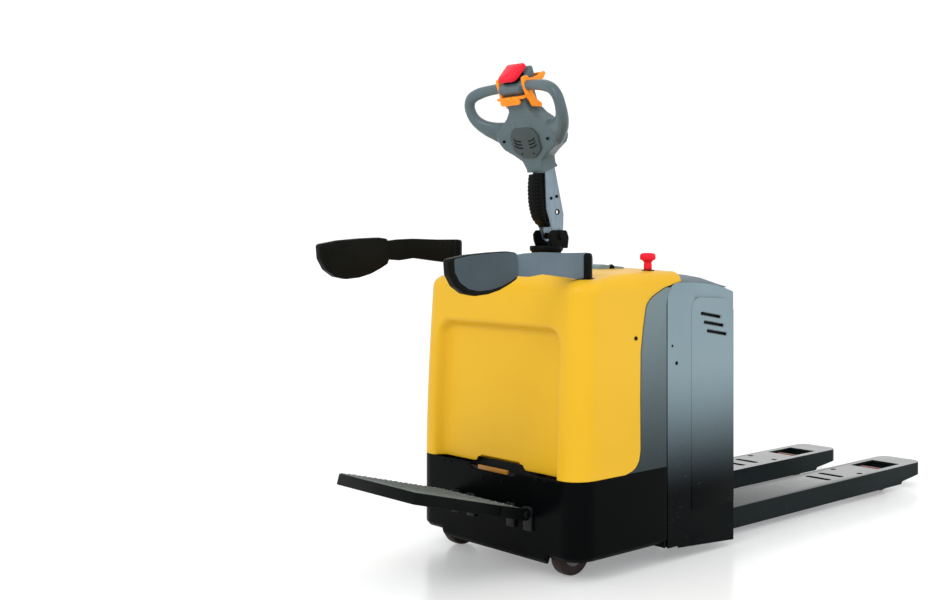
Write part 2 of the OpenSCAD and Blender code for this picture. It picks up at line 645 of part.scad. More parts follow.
// Hand loops: round rings on either side of the neck, swept towards the operator
loop_t = 32;
loop_in = 18;
loop_r = (head_half + loop_t / 2 - loop_in) / 2;
loop_s = 156;
loop_sweep = 12;
module tiller_head() place() on_head() color("#5d666c") difference() {
    union() {
        block([-46, -50, 0], [34, 50, 28]);
        translate([-36, 0, 0]) rotate([90, 0, 90]) linear_extrude(62)
            polygon([[-50, 20], [50, 20], [112, 82], [104, 120], [52, 165], [-52, 165],
                [-104, 120], [-112, 82]]);
        block([-34, -44, 160], [16, 44, 246]);
        xz(-47, 47) polygon([[26, 244], [-46, 244], [-50, 262], [-48, 272], [14, head_len - 8],
            [26, head_len - 20]]);
        both() rotate([0, 0, loop_sweep]) translate([1, loop_in + loop_r, loop_s]) rotate([0, 90, 0])
            difference() {
                cylinder(h = 30, r = loop_r, $fn = 64);
                translate([0, 0, -1]) cylinder(h = 32, r = loop_r - loop_t, $fn = 64);
            }
    }
    belly_seat() block([-34, -41, -9], [34, 41, 9]);
    bar_y(throttle_x, throttle_z, 5 + fit, -60, 60);
    bar_x(0, 285, 9, 12, 40);
    block([6, -19, 181], [17, 19, 219]);
}
throttle_x = -25;
throttle_z = 236;
belly_tilt = 31;
module belly_seat() translate([-17, 0, head_len / 2 + 134]) rotate([0, -belly_tilt, 0]) children();
module belly_button() place() on_head() color("#d81e3a")
    belly_seat() block([-33, -40, -2], [33, 40, 10]);
module throttle_wings() place() on_head() color("#f08a24") {
    bar_y(throttle_x, throttle_z, 5, -52, 52);
    both() xz(51, 66) polygon([[-56, 200], [-45, 200], [-45, 192], [-26, 192], [-18, 220], [-18, 266],
        [54, 266], [54, 282], [-45, 282], [-45, 230], [-56, 230]]);
    block([-55, -52, 201], [-44, 52, 229]);
    block([43, -52, 267], [53, 52, 281]);
}
module lift_rocker() place() on_head() color("#202224") {
    block([9, -18, 183], [22, 18, 217]);
    bar_y(12, 200, 2.5, -18.8, 18.8);
}
module horn_button() place() on_head() color("#2f5fa8") bar_x(0, 285, 8.5, 15, 31);

chassis_frame();
base_skirt();
drive_cover();
side_columns();
mast_frame();
lift_cylinder();
hydraulic_tank();
pump_motor();
electric_panel();
turntable_bearing();
dash_console();
stop_switch_base();
platform_brackets();
platform_pin();
arm_sockets();
cover_screws();
stop_button();
ignition_key();
drive_gearbox();
drive_motor();
steer_bridge();
tiller_base();
tiller_pin();
drive_hub();
drive_tyre();
castor_fork_right();
castor_fork_left();
castor_wheel_right();
castor_wheel_left();
platform_frame();
platform_mat();
arm_sleeve_right();
arm_sleeve_left();
side_arm_right();
side_arm_left();
arm_pad_right();
arm_pad_left();
fork_right();
fork_left();
fork_heel();
battery_tray();
battery_block();
battery_plug();
side_panel_right();
side_panel_left();
lift_rod();
battery_lid();
lift_crank();
push_rods();
roller_arm_right();
roller_arm_left();
load_roller_right();
load_roller_left();
tiller_plates();
column_cover();
tiller_head();
belly_button();
throttle_wings();
lift_rocker();
horn_button();
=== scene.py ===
import json
from math import cos, exp, hypot, pi, radians, sin, tan

import bmesh
import bpy
from mathutils import Matrix, Vector

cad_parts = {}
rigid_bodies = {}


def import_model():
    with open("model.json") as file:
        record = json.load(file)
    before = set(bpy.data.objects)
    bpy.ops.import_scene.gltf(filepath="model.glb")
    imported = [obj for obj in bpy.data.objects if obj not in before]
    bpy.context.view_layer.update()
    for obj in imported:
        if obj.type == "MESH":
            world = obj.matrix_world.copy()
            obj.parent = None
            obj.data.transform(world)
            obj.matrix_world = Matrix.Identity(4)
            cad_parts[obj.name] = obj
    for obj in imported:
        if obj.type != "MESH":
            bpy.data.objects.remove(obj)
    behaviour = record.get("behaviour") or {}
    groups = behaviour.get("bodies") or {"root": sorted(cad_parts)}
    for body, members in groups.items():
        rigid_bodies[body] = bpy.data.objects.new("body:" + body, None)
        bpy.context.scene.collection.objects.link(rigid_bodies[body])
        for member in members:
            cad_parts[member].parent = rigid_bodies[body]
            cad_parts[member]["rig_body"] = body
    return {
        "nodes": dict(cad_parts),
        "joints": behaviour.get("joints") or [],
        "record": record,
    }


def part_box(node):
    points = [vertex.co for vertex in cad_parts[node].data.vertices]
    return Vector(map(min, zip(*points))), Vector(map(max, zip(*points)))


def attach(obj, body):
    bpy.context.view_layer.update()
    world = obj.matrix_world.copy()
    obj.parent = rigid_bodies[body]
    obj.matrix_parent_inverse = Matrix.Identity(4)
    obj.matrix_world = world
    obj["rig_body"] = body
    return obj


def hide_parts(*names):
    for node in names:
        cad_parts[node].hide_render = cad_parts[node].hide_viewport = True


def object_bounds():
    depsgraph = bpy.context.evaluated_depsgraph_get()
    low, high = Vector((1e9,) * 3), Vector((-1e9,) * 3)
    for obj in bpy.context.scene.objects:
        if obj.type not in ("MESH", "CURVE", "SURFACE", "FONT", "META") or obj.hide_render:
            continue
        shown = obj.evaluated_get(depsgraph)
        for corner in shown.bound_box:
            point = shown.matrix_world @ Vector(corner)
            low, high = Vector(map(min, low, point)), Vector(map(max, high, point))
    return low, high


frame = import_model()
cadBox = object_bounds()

# Lengths are in millimetres, and X is measured from the fork heel, until a piece is finished.
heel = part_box("side_panel_right")[1].x * 1000
toFrame = Matrix.Translation((heel / 1000, 0, 0)) @ Matrix.Scale(0.001, 4)
joints = {j["name"]: j for j in frame["joints"]}


def cad(node):
    return [Vector((p.x * 1000 - heel, p.y * 1000, p.z * 1000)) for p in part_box(node)]


def pivot(joint):
    x, y, z = joints[joint]["pos_m"]
    return Vector((x * 1000 - heel, y * 1000, z * 1000))


# ---- Finishes ----
class Wire:
    def __init__(self, finish, socket):
        self.finish, self.socket = finish, socket

    def calc(self, operation, *values):
        return self.finish.add("ShaderNodeMath", {"operation": operation}, dict(enumerate(values)))

    def __add__(self, other): return self.calc("ADD", self, other)
    def __mul__(self, other): return self.calc("MULTIPLY", self, other)
    def __rsub__(self, other): return self.calc("SUBTRACT", other, self)
    __radd__, __rmul__ = __add__, __mul__


class Finish:
    def __init__(self, name, fixed):
        self.material = bpy.data.materials.new(name)
        self.material.use_nodes = True
        self.tree = self.material.node_tree
        self.shader = self.tree.nodes["Principled BSDF"]
        for socket, value in fixed.items():
            self.shader.inputs[socket].default_value = value
        self.place = self.add("ShaderNodeTexCoord", {}, {}, "Object")

    def add(self, kind, settings, sockets, output=0):
        node = self.tree.nodes.new(kind)
        for name, value in settings.items():
            if name == "stops":
                while len(node.color_ramp.elements) < len(value):
                    node.color_ramp.elements.new(0.5)
                for stop, (at, colour) in zip(node.color_ramp.elements, value):
                    stop.position, stop.color = at, colour
            else:
                setattr(node, name, value)
        for name, value in sockets.items():
            if isinstance(value, Wire):
                self.tree.links.new(value.socket, node.inputs[name])
            else:
                node.inputs[name].default_value = value
        return Wire(self, node.outputs[output])

    def feed(self, socket, wire):
        self.tree.links.new(wire.socket, self.shader.inputs[socket])

    def stretched(self, scale, turn=(0, 0, 0)):
        return self.add("ShaderNodeMapping", {}, {"Vector": self.place, "Scale": scale, "Rotation": turn})

    def noise(self, scale, detail=2, where=None):
        return self.add("ShaderNodeTexNoise", {}, {"Vector": where or self.place, "Scale": scale, "Detail": detail})

    def window(self, wire, low, high):
        return self.add("ShaderNodeMapRange", {"interpolation_type": "SMOOTHSTEP"},
                        {"Value": wire, "From Min": low, "From Max": high, "To Min": 0, "To Max": 1})

    def height(self, low, high):
        z = self.add("ShaderNodeSeparateXYZ", {}, {0: self.place}, "Z")
        return self.window(z, low, high)

    def blendColours(self, mask, first, second):
        return self.add("ShaderNodeMix", {"data_type": "RGBA"}, {0: mask, 6: first, 7: second}, 2)

    def bumps(self, height, strength, distance, under=None):
        sockets = {"Height": height, "Strength": strength, "Distance": distance}
        if under:
            sockets["Normal"] = under
        return self.add("ShaderNodeBump", {}, sockets)


def tone(r, g, b):
    return (r, g, b, 1.0)


# Smooth paint or gel-coat: faint waviness, wipe marks in the gloss, dust low down and fine scratches
def glossPaint(name, look):
    f = Finish(name, {"Metallic": 0.0, "IOR": 1.5, "Coat Roughness": look.get("coatRough", 0.08),
                      "Coat Weight": look.get("coat", 0.0), "Specular IOR Level": look.get("shine", 0.5)})
    broad = f.noise(2.2, 3)
    colour = f.blendColours(f.window(broad, 0.3, 0.75), look["colour"], look["shade"])
    # painted reflection: the colour is lighter high up and fades to near black towards the bottom, as the lamps'
    # reflection does on dark paint
    if "fade" in look:
        low, high, dark = look["fade"]
        colour = f.blendColours(f.height(low, high), tone(*dark), colour)
    scratchWhere = f.stretched((9, 9, 140), (0.5, 0.2, 0.3))
    scratch = f.window(f.noise(4.0, 5, scratchWhere), 0.68, 0.74) * f.window(f.noise(5.0, 2), 0.5, 0.68)
    colour = f.blendColours(scratch * look.get("wear", 0.35), colour, look["scuff"])
    dust = (1 - f.height(0.0, look.get("dustTop", 0.16))) * f.window(f.noise(14, 5), 0.42, 0.7)
    colour = f.blendColours(dust * look.get("dust", 0.0), colour, tone(0.33, 0.3, 0.27))
    if "coatAbove" in look:  # faces that loads and cloths keep polished
        f.feed("Coat Weight", f.height(*look["coatAbove"]))
    wipe = f.noise(5.0, 4, f.stretched((1, 1, 0.35)))
    f.feed("Base Color", colour)
    f.feed("Roughness", wipe * 0.14 + (look["rough"] - 0.07) + dust * 0.2 + scratch * 0.15)
    peel = f.bumps(f.noise(look.get("peel", 260), 1), 0.06, look.get("peelDepth", 0.0006))
    f.feed("Normal", f.bumps(broad, 0.15, 0.003, peel))
    return f.material


# Moulded plastic or rubber: a leathery or sparked grain, a little polish where hands and shoes rub
def grainPlastic(name, look):
    f = Finish(name, {"Metallic": 0.0, "IOR": 1.47, "Coat Weight": 0.0, "Specular IOR Level": look.get("shine", 0.3)})
    broad = f.noise(6.0, 3)
    fine = f.noise(look["grain"], 2)
    cells = f.add("ShaderNodeTexVoronoi", {"feature": "SMOOTH_F1"},
                  {"Vector": f.place, "Scale": look["grain"] * 0.6, "Smoothness": 0.6}, "Distance")
    colour = f.blendColours(f.window(broad, 0.3, 0.7), look["colour"], look["shade"])
    colour = f.blendColours(f.window(fine, 0.55, 0.8) * 0.35, colour, look["scuff"])
    f.feed("Base Color", colour)
    f.feed("Roughness", f.noise(9.0, 4) * 0.2 + (look["rough"] - 0.1))
    f.feed("Normal", f.bumps(cells + fine * 0.5, look.get("depth", 0.25), 0.0008))
    return f.material


# Bare, plated, brushed or cast metal
def metal(name, look):
    f = Finish(name, {"Metallic": 1.0, "IOR": 1.45})
    streak = f.noise(look.get("lines", 60), 4, f.stretched(look.get("stretch", (1, 1, 1))))
    stain = f.window(f.noise(11, 5), 0.5, 0.75)
    colour = f.blendColours(streak, look["colour"], look["shade"])
    f.feed("Base Color", f.blendColours(stain * look.get("stain", 0.3), colour, look["scuff"]))
    f.feed("Roughness", streak * 0.22 + (look["rough"] - 0.1) + stain * 0.12)
    f.feed("Normal", f.bumps(streak, look.get("depth", 0.12), 0.0006))
    return f.material


# finish: material, colour, shade, scuff, roughness, and what differs from its maker's usual look
paints = {
    "yellow": ("yellowGelcoat", (0.74, 0.43, 0.018), (0.69, 0.39, 0.014), (0.5, 0.3, 0.04), 0.38,
      {"shine": 0.14, "coat": 0.06, "coatRough": 0.14, "wear": 0.12}),
    "skirt": ("blackPaint", (0.001, 0.0013, 0.0015), (0.002, 0.0024, 0.0026), (0.02, 0.02, 0.02), 0.34,
      {"shine": 0.031}),
    "fork": ("blackForkPaint", (0.002, 0.0025, 0.0025), (0.004, 0.005, 0.005), (0.04, 0.04, 0.04), 0.26,
      {"shine": 0.05, "wear": 0.3}),
    # forkTop: the blue-grey lift over the fork black is painted reflection of the sky on the blades; the coat on the
    # tops is a real gloss
    "forkTop": ("polishedForkPaint", (0.01, 0.016, 0.017), (0.006, 0.01, 0.011), (0.12, 0.13, 0.13), 0.26,
      {"shine": 0.05, "coatRough": 0.14, "coatAbove": (0.0832, 0.0848), "wear": 0.5}),
    # slateColumn and slate: the pale blue-grey is painted reflection on dark grey paint, and their fade to near black
    # lower down is painted reflection too
    "slateColumn": ("slateColumnPaint", (0.185, 0.245, 0.262), (0.165, 0.22, 0.238), (0.2, 0.24, 0.26), 0.4,
      {"shine": 0.05, "fade": (0.05, 0.9, (0.002, 0.003, 0.003))}),
    "slate": ("slatePaint", (0.225, 0.3, 0.335), (0.19, 0.262, 0.298), (0.26, 0.3, 0.32), 0.4,
      {"shine": 0.04, "fade": (0.18, 0.57, (0.0012, 0.002, 0.0022))}),
    "lidSlate": ("lidPaint", (0.12, 0.16, 0.185), (0.1, 0.138, 0.16), (0.2, 0.24, 0.26), 0.4, {"shine": 0.1}),
    "frame": ("framePaint", (0.01, 0.011, 0.012), (0.015, 0.016, 0.017), (0.08, 0.08, 0.08), 0.5,
      {"shine": 0.15, "dust": 0.15, "dustTop": 0.2}),
    # rim: the lighter grey of the slot lips is a painted highlight on the panel's rolled edges
    "rim": ("lipPaint", (0.36, 0.42, 0.45), (0.3, 0.36, 0.39), (0.4, 0.42, 0.44), 0.35, {"shine": 0.3}),
}
plastics = {
    "head": ("headPlastic", (0.085, 0.124, 0.136), (0.068, 0.1, 0.11), (0.16, 0.2, 0.21), 0.36,
      {"shine": 0.35, "grain": 900, "depth": 0.12}),
    "headInset": ("headInsetPlastic", (0.05, 0.066, 0.068), (0.04, 0.054, 0.056), (0.1, 0.11, 0.11), 0.5,
      {"grain": 700}),
    "black": ("blackPlastic", (0.002, 0.0025, 0.0025), (0.0035, 0.004, 0.004), (0.015, 0.015, 0.015), 0.4,
      {"shine": 0.06, "grain": 800, "depth": 0.15}),
    # foam and band are lighter copies of the dark foam, used on the near (right) arm: painted sheen on its lit side
    "foam": ("padFoam", (0.042, 0.066, 0.079), (0.033, 0.052, 0.063), (0.08, 0.09, 0.1), 0.48,
      {"grain": 520, "depth": 0.3}),
    "foamDark": ("padFoamDark", (0.0035, 0.004, 0.003), (0.006, 0.0062, 0.0048), (0.02, 0.02, 0.016), 0.42,
      {"shine": 0.06, "grain": 520, "depth": 0.25}),
    "band": ("bandCoating", (0.1, 0.145, 0.182), (0.078, 0.113, 0.142), (0.14, 0.15, 0.16), 0.36,
      {"grain": 600, "depth": 0.15}),
    "boot": ("bootRubber", (0.0015, 0.0018, 0.0018), (0.003, 0.0034, 0.0034), (0.015, 0.015, 0.015), 0.42,
      {"shine": 0.06, "grain": 420, "depth": 0.3}),
    "mat": ("matRubber", (0.135, 0.155, 0.148), (0.1, 0.116, 0.11), (0.26, 0.28, 0.27), 0.6,
      {"grain": 300, "depth": 0.4}),
    "red": ("redPlastic", (0.8, 0.012, 0.036), (0.72, 0.01, 0.03), (0.85, 0.08, 0.1), 0.3,
      {"shine": 0.12, "grain": 900, "depth": 0.06}),
    "orange": ("orangePlastic", (0.98, 0.3, 0.022), (0.92, 0.26, 0.018), (0.95, 0.42, 0.12), 0.36,
      {"shine": 0.12, "grain": 800, "depth": 0.1}),
    "console": ("consolePlastic", (0.17, 0.235, 0.25), (0.14, 0.2, 0.215), (0.26, 0.3, 0.32), 0.42,
      {"grain": 800, "depth": 0.1}),
    "amber": ("amberPaint", (0.36, 0.16, 0.02), (0.26, 0.12, 0.016), (0.2, 0.1, 0.03), 0.4, {"grain": 500}),
    "blue": ("bluePlastic", (0.03, 0.12, 0.42), (0.025, 0.1, 0.36), (0.2, 0.3, 0.5), 0.34,
      {"grain": 800, "depth": 0.08}),
    "castor": ("castorRubber", (0.03, 0.016, 0.015), (0.02, 0.011, 0.011), (0.06, 0.04, 0.035), 0.5,
      {"shine": 0.15, "grain": 240, "depth": 0.25}),
    "tyre": ("brownPolyurethane", (0.16, 0.035, 0.022), (0.11, 0.024, 0.016), (0.24, 0.12, 0.09), 0.4,
      {"grain": 240, "depth": 0.25}),
    "battery": ("batteryCase", (0.03, 0.045, 0.075), (0.024, 0.035, 0.06), (0.1, 0.12, 0.15), 0.5, {"grain": 380}),
}
metals = {
    "zinc": ("zincPlate", (0.62, 0.64, 0.66), (0.48, 0.5, 0.52), (0.3, 0.28, 0.24), 0.3, {}),
    "plate": ("platedSteel", (0.235, 0.3, 0.345), (0.17, 0.22, 0.26), (0.12, 0.14, 0.16), 0.42,
      {"lines": 30, "stretch": (6, 6, 0.6), "stain": 0.2}),
    "cast": ("castIron", (0.17, 0.175, 0.18), (0.11, 0.115, 0.12), (0.2, 0.14, 0.1), 0.6, {"lines": 240, "depth": 0.6}),
    "bronze": ("bronzeBush", (0.56, 0.36, 0.16), (0.42, 0.26, 0.1), (0.25, 0.18, 0.08), 0.35, {}),
}
finishes = {}
for make, looks in ((glossPaint, paints), (grainPlastic, plastics), (metal, metals)):
    for key, (material, colour, shade, scuff, rough, extra) in looks.items():
        look = {"colour": tone(*colour), "shade": tone(*shade), "scuff": tone(*scuff), "rough": rough}
        finishes[key] = make(material, look | extra)
print("finishes:", len(finishes))


# ---- Shaping helpers ----
def localBox(node, place):
    back = place.inverted() @ toFrame.inverted()
    points = [back @ v.co for v in frame["nodes"][node].data.vertices]
    return [Vector(f(p[i] for p in points) for i in range(3)) for f in (min, max)]


def put(bm, place):
    bmesh.ops.transform(bm, matrix=place, verts=bm.verts)


def rounded(points, radius, steps=5):
    # closed outline with an arc at each corner; radius is one number, or one for each corner
    radii = radius if isinstance(radius, (list, tuple)) else [radius] * len(points)
    outline = []
    for i, r in enumerate(radii):
        here = Vector(points[i])
        back, ahead = Vector(points[i - 1]) - here, Vector(points[(i + 1) % len(points)]) - here
        if r <= 0:
            outline.append(here)
            continue
        half = back.angle(ahead) / 2
        reach = min(r / tan(half), 0.49 * back.length, 0.49 * ahead.length)
        start, end = here + back.normalized() * reach, here + ahead.normalized() * reach
        centre = here + (start + end - 2 * here).normalized() * (reach / cos(half))
        arm = (start - centre).length
        outline += [centre + arm * (start - centre).slerp(end - centre, k / steps) for k in range(steps + 1)]
    return outline


planes = {"xz": lambda a, b, c: Vector((a, c, b)), "yz": lambda a, b, c: Vector((c, a, b)),
          "xy": lambda a, b, c: Vector((a, b, c))}


def slab(bm, outline, plane, low, high, holes=()):
    at = planes[plane]
    loops = [[bm.verts.new(at(p[0], p[1], low)) for p in loop] for loop in (outline, *holes)]
    if holes:
        edges = [bm.edges.new((v, loop[(i + 1) % len(loop)])) for loop in loops for i, v in enumerate(loop)]
        filled = bmesh.ops.triangle_fill(bm, use_beauty=True, edges=edges)["geom"]
        faces = [g for g in filled if isinstance(g, bmesh.types.BMFace)]
    else:
        faces = [bm.faces.new(loops[0])]
    moved = bmesh.ops.extrude_face_region(bm, geom=faces, use_keep_orig=True)["geom"]
    verts = [g for g in moved if isinstance(g, bmesh.types.BMVert)]
    bmesh.ops.translate(bm, verts=verts, vec=at(0, 0, high) - at(0, 0, low))
    return verts


def soften(bm, width, segments=2, angle=30, pick=None):
    edges = [e for e in bm.edges if len(e.link_faces) == 2 and e.calc_face_angle() > radians(angle)
             and (pick is None or pick(e))]
    bmesh.ops.bevel(bm, geom=edges, offset=width, offset_type="OFFSET", segments=segments, profile=0.5,
                    affect="EDGES", clamp_overlap=True, material=-1)


def block(bm, low, high):
    made = bmesh.ops.create_cube(bm, size=1)["verts"]
    size, middle = Vector(high) - Vector(low), (Vector(high) + Vector(low)) / 2
    bmesh.ops.scale(bm, verts=made, vec=size)
    bmesh.ops.translate(bm, verts=made, vec=middle)
    return made


axes = {"x": Vector((1, 0, 0)), "y": Vector((0, 1, 0)), "z": Vector((0, 0, 1))}
across = {"x": Vector((0, 0, 1)), "y": Vector((1, 0, 0)), "z": Vector((1, 0, 0))}


def turned(bm, profile, axis, centre, steps=48):
    # profile points are (radius, distance along the axis)
    a, r = axes[axis], across[axis]
    verts = [bm.verts.new(Vector(centre) + r * p[0] + a * p[1]) for p in profile]
    edges = [bm.edges.new(pair) for pair in zip(verts, verts[1:])]
    bmesh.ops.spin(bm, geom=verts + edges, cent=centre, axis=a, dvec=(0, 0, 0), angle=2 * pi, steps=steps,
                   use_merge=True)


def turnedOut(bm, profile, side, x, z, steps, y=0.0):
    # the same along Y, pointing away from the middle; profile points are (radius, distance outward)
    turned(bm, [(r, side * a) for r, a in profile], "y", (x, y, z), steps)


def loft(bm, stations, sides, shape=None):
    # stations are matrices that place a unit circle; shape may warp each ring's points
    loops = []
    for i, place in enumerate(stations):
        verts = bmesh.ops.create_circle(bm, segments=sides, radius=1)["verts"]
        if shape:
            for v in verts:
                v.co = shape(v.co, i)
        bmesh.ops.transform(bm, matrix=place, verts=verts)
        loops.append(list({e for v in verts for e in v.link_edges}))
    for first, second in zip(loops, loops[1:]):
        bmesh.ops.bridge_loops(bm, edges=first + second)
    for end in (loops[0], loops[-1]):
        bmesh.ops.contextual_create(bm, geom=end)


def along(path, radii, up):
    # matrices for a tube through the points of a path; radii are (wide, thick) pairs
    stations = []
    for i, p in enumerate(path):
        ahead = (Vector(path[min(i + 1, len(path) - 1)]) - Vector(path[max(i - 1, 0)])).normalized()
        side = ahead.cross(up).normalized()
        turn = Matrix((side, side.cross(ahead) * -1, ahead)).transposed().to_4x4()
        stations.append(Matrix.Translation(p) @ turn @ Matrix.Diagonal((*radii[i], 1, 1)))
    return stations


def curved(points, steps=6):
    # smooth path through the points
    points = [Vector(p) for p in points]
    padded = [2 * points[0] - points[1], *points, 2 * points[-1] - points[-2]]
    path = []
    for a, b, c, d in zip(padded, padded[1:], padded[2:], padded[3:]):
        for k in range(steps):
            t = k / steps
            path.append(0.5 * (2 * b + (c - a) * t + (2 * a - 5 * b + 4 * c - d) * t * t
                               + (3 * b - a - 3 * c + d) * t ** 3))
    return path + [points[-1]]


def finishPiece(name, bm, body, finish, node, replaces=True, sharp=35, normals=True):
    bmesh.ops.remove_doubles(bm, verts=bm.verts, dist=0.01)
    if normals:
        bmesh.ops.recalc_face_normals(bm, faces=bm.faces)
    bm.transform(toFrame)
    mesh = bpy.data.meshes.new(name)
    bm.to_mesh(mesh)
    bm.free()
    piece = bpy.data.objects.new(name, mesh)
    bpy.context.scene.collection.objects.link(piece)
    mesh.materials.append(finishes[finish])
    mesh.shade_smooth()
    mesh.set_sharp_from_angle(angle=radians(sharp))
    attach(piece, body)
    if replaces:
        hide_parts(node)
    return piece


def addDetail(*piece, **options):
    return finishPiece(*piece, replaces=False, **options)


def walled(piece, thickness, bevel, angle=50):
    wall = piece.modifiers.new("Wall", "SOLIDIFY")
    wall.thickness, wall.offset = thickness / 1000, -1
    edge = piece.modifiers.new("Edge", "BEVEL")
    edge.width, edge.segments, edge.limit_method, edge.angle_limit = bevel / 1000, 2, "ANGLE", radians(angle)


def softCopy(node, width, finish, segments=2, angle=35):
    # a merged copy of a CAD node with its edges broken
    bm = bmesh.new()
    bm.from_mesh(frame["nodes"][node].data)
    bmesh.ops.transform(bm, matrix=toFrame.inverted(), verts=bm.verts)
    bmesh.ops.remove_doubles(bm, verts=bm.verts, dist=0.02)
    bmesh.ops.dissolve_limit(bm, angle_limit=radians(1), verts=bm.verts, edges=bm.edges)
    soften(bm, width, segments, angle)
    return finishPiece(node + "Finished", bm, frame["nodes"][node]["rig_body"], finish, node, normals=False)


slotOf = {part["node"]: part["material_slot"] for part in frame["record"]["subparts"]}
mirrorY = Matrix.Scale(-1, 4, (0, 1, 0))


def flip(bm, side):
    # pieces are drawn on the left (+Y); the right ones are mirrored
    if side == "right":
        bmesh.ops.transform(bm, matrix=mirrorY, verts=bm.verts)
        bmesh.ops.reverse_faces(bm, faces=bm.faces)


# ---- Camera, floor and light ----
def setStage():
    view = {"place": (-2.851, -2.7846, 0.9349), "turn": -46.4, "lens": 46.917, "shift": (-0.2158, -0.0728)}
    camera = bpy.data.objects.new("camera", bpy.data.cameras.new("camera"))
    bpy.context.scene.collection.objects.link(camera)
    camera.location, camera.rotation_euler = view["place"], (radians(90), 0, radians(view["turn"]))
    camera.data.lens, camera.data.sensor_width = view["lens"], 36
    camera.data.shift_x, camera.data.shift_y = view["shift"]
    bpy.context.scene.camera = camera
    bpy.context.scene.view_settings.view_transform = "Standard"

    bm = bmesh.new()
    bmesh.ops.create_grid(bm, x_segments=2, y_segments=2, size=60)
    mesh = bpy.data.meshes.new("floor")
    bm.to_mesh(mesh)
    bm.free()
    floor = bpy.data.objects.new("floor", mesh)
    bpy.context.scene.collection.objects.link(floor)
    pale = Finish("paleFloor", {"Metallic": 0.0, "IOR": 1.45, "Emission Color": tone(0.98, 0.99, 1.0),
                                "Emission Strength": 0.28})
    pale.feed("Base Color", pale.blendColours(pale.noise(0.8, 2), tone(0.66, 0.665, 0.67), tone(0.69, 0.69, 0.69)))
    pale.feed("Roughness", pale.noise(1.5, 3) * 0.06 + 0.2)
    mesh.materials.append(pale.material)
    floor.location.z = cadBox[0].z - 0.0005

    world = bpy.data.worlds.new("studio")
    bpy.context.scene.world = world
    world.use_nodes = True
    world.node_tree.nodes["Background"].inputs["Color"].default_value = tone(1.0, 1.0, 1.0)
    world.node_tree.nodes["Background"].inputs["Strength"].default_value = 1.06
    lamps = [  # place, aim, size, power
        ((-3.4, -0.9, 2.8), (-0.4, 0, 0.5), 1.8, 46),
        ((0.4, -3.4, 3.0), (-0.2, 0, 0.5), 1.8, 14),
        ((2.1, -2.9, 0.8), (-0.2, -0.3, 0.6), 1.5, 8)]
    for i, (place, aim, size, power) in enumerate(lamps):
        lamp = bpy.data.lights.new("softbox%d" % i, "AREA")
        lamp.shape, lamp.size, lamp.energy = "SQUARE", size, power
        holder = bpy.data.objects.new(lamp.name, lamp)
        holder.location = place
        holder.rotation_mode = "QUATERNION"
        holder.rotation_quaternion = (Vector(aim) - Vector(place)).to_track_quat("-Z", "Y")
        bpy.context.scene.collection.objects.link(holder)


setStage()
print("stage ready")


# ---- Drive cover ----
cover = {"low": 271.5, "side": 360, "rear": cad("drive_cover")[0].x, "shoulderZ": 768, "top": 819,
         "corner": 66, "sideDraft": 5, "rearDraft": 22, "sideTop": 50, "rearTop": 66,
         "recessHalf": 279, "recessTop": 678, "recessCorner": 55, "recessDepth": 29, "recessWall": 24,
         "hole": 24, "columnHole": 62, "wall": 4}
# the fork-side edge: height, X
coverEdge = [(271, -449), (276, -425), (286, -407), (304, -394), (331, -389), (467, -389), (600, -386),
             (668, -376), (727, -364), (743, -352), (753, -338), (764, -316), (777, -286), (784, -252),
             (788, -217), (808, -213), (900, -213)]


def between(table, at):
    for (a, x), (b, y) in zip(table, table[1:]):
        if at <= b:
            return x + (y - x) * max(at - a, 0) / (b - a)
    return table[-1][1]


def smooth(low, high, at):
    t = min(max((at - low) / (high - low), 0), 1)
    return t * t * (3 - 2 * t)


postPlace = pivot("arm_fold_left")


def coverTopZ(x, y):
    crown = 7 * (1 - min(abs(y) / 300, 1) ** 2) * smooth(cover["rear"] + 60, cover["rear"] + 150, x)
    nearPost = exp(-((x - postPlace.x + 6) ** 2 + (abs(y) - postPlace.y) ** 2) / 75 ** 2)
    return crown - 15 * nearPost


def coverPoint(u, v):
    # u runs 0..1 from the side's fork edge to the middle of the rear; v is 0..1 up the wall, 1..2 round the
    # shoulder and 2..3 over the top to the middle
    c = cover
    if v <= 1:
        z = c["low"] + (c["shoulderZ"] - c["low"]) * v
        inSide, inRear = c["sideDraft"] * v ** 1.5, c["rearDraft"] * v ** 1.6
    elif v <= 2:
        a = (v - 1) * pi / 2
        z = c["shoulderZ"] + (c["top"] - c["shoulderZ"]) * sin(a)
        inSide = c["sideDraft"] + (c["sideTop"] - c["sideDraft"]) * (1 - cos(a))
        inRear = c["rearDraft"] + (c["rearTop"] - c["rearDraft"]) * (1 - cos(a))
    else:
        f = v - 2
        z = c["top"]
        inSide = c["sideTop"] + (c["side"] - c["sideTop"]) * f
        inRear = c["rearTop"] + (c["side"] - c["sideTop"]) * f
    y0, x0 = c["side"] - inSide, c["rear"] + inRear
    r = min(c["corner"] - 0.5 * inSide, y0) if v <= 2 else max(0.01, (c["corner"] - 0.5 * c["sideTop"]) * (3 - v))
    front = between(coverEdge, z)
    front = max(front, x0 + r + 1)
    if u < 0.3:
        x, y = front + (x0 + r - front) * (u / 0.3), y0
    elif u < 0.55:
        a = (u - 0.3) / 0.25 * pi / 2
        x, y = x0 + r - r * sin(a), y0 - r + r * cos(a)
    else:
        x, y = x0, (y0 - r) * (1 - (u - 0.55) / 0.45)
    z += coverTopZ(x, y) * smooth(c["shoulderZ"] - 20, c["top"], z)
    return Vector((x, y, z))


def recessShare(y, z):
    # 0 outside the recess, 1 on its floor
    c = cover
    r = c["recessCorner"]
    dy, dz = abs(y) - (c["recessHalf"] - r), z - (c["recessTop"] - r)
    inside = r - hypot(max(dy, 0), max(dz, 0)) - min(max(dy, dz), 0)
    return smooth(0, c["recessWall"], inside)


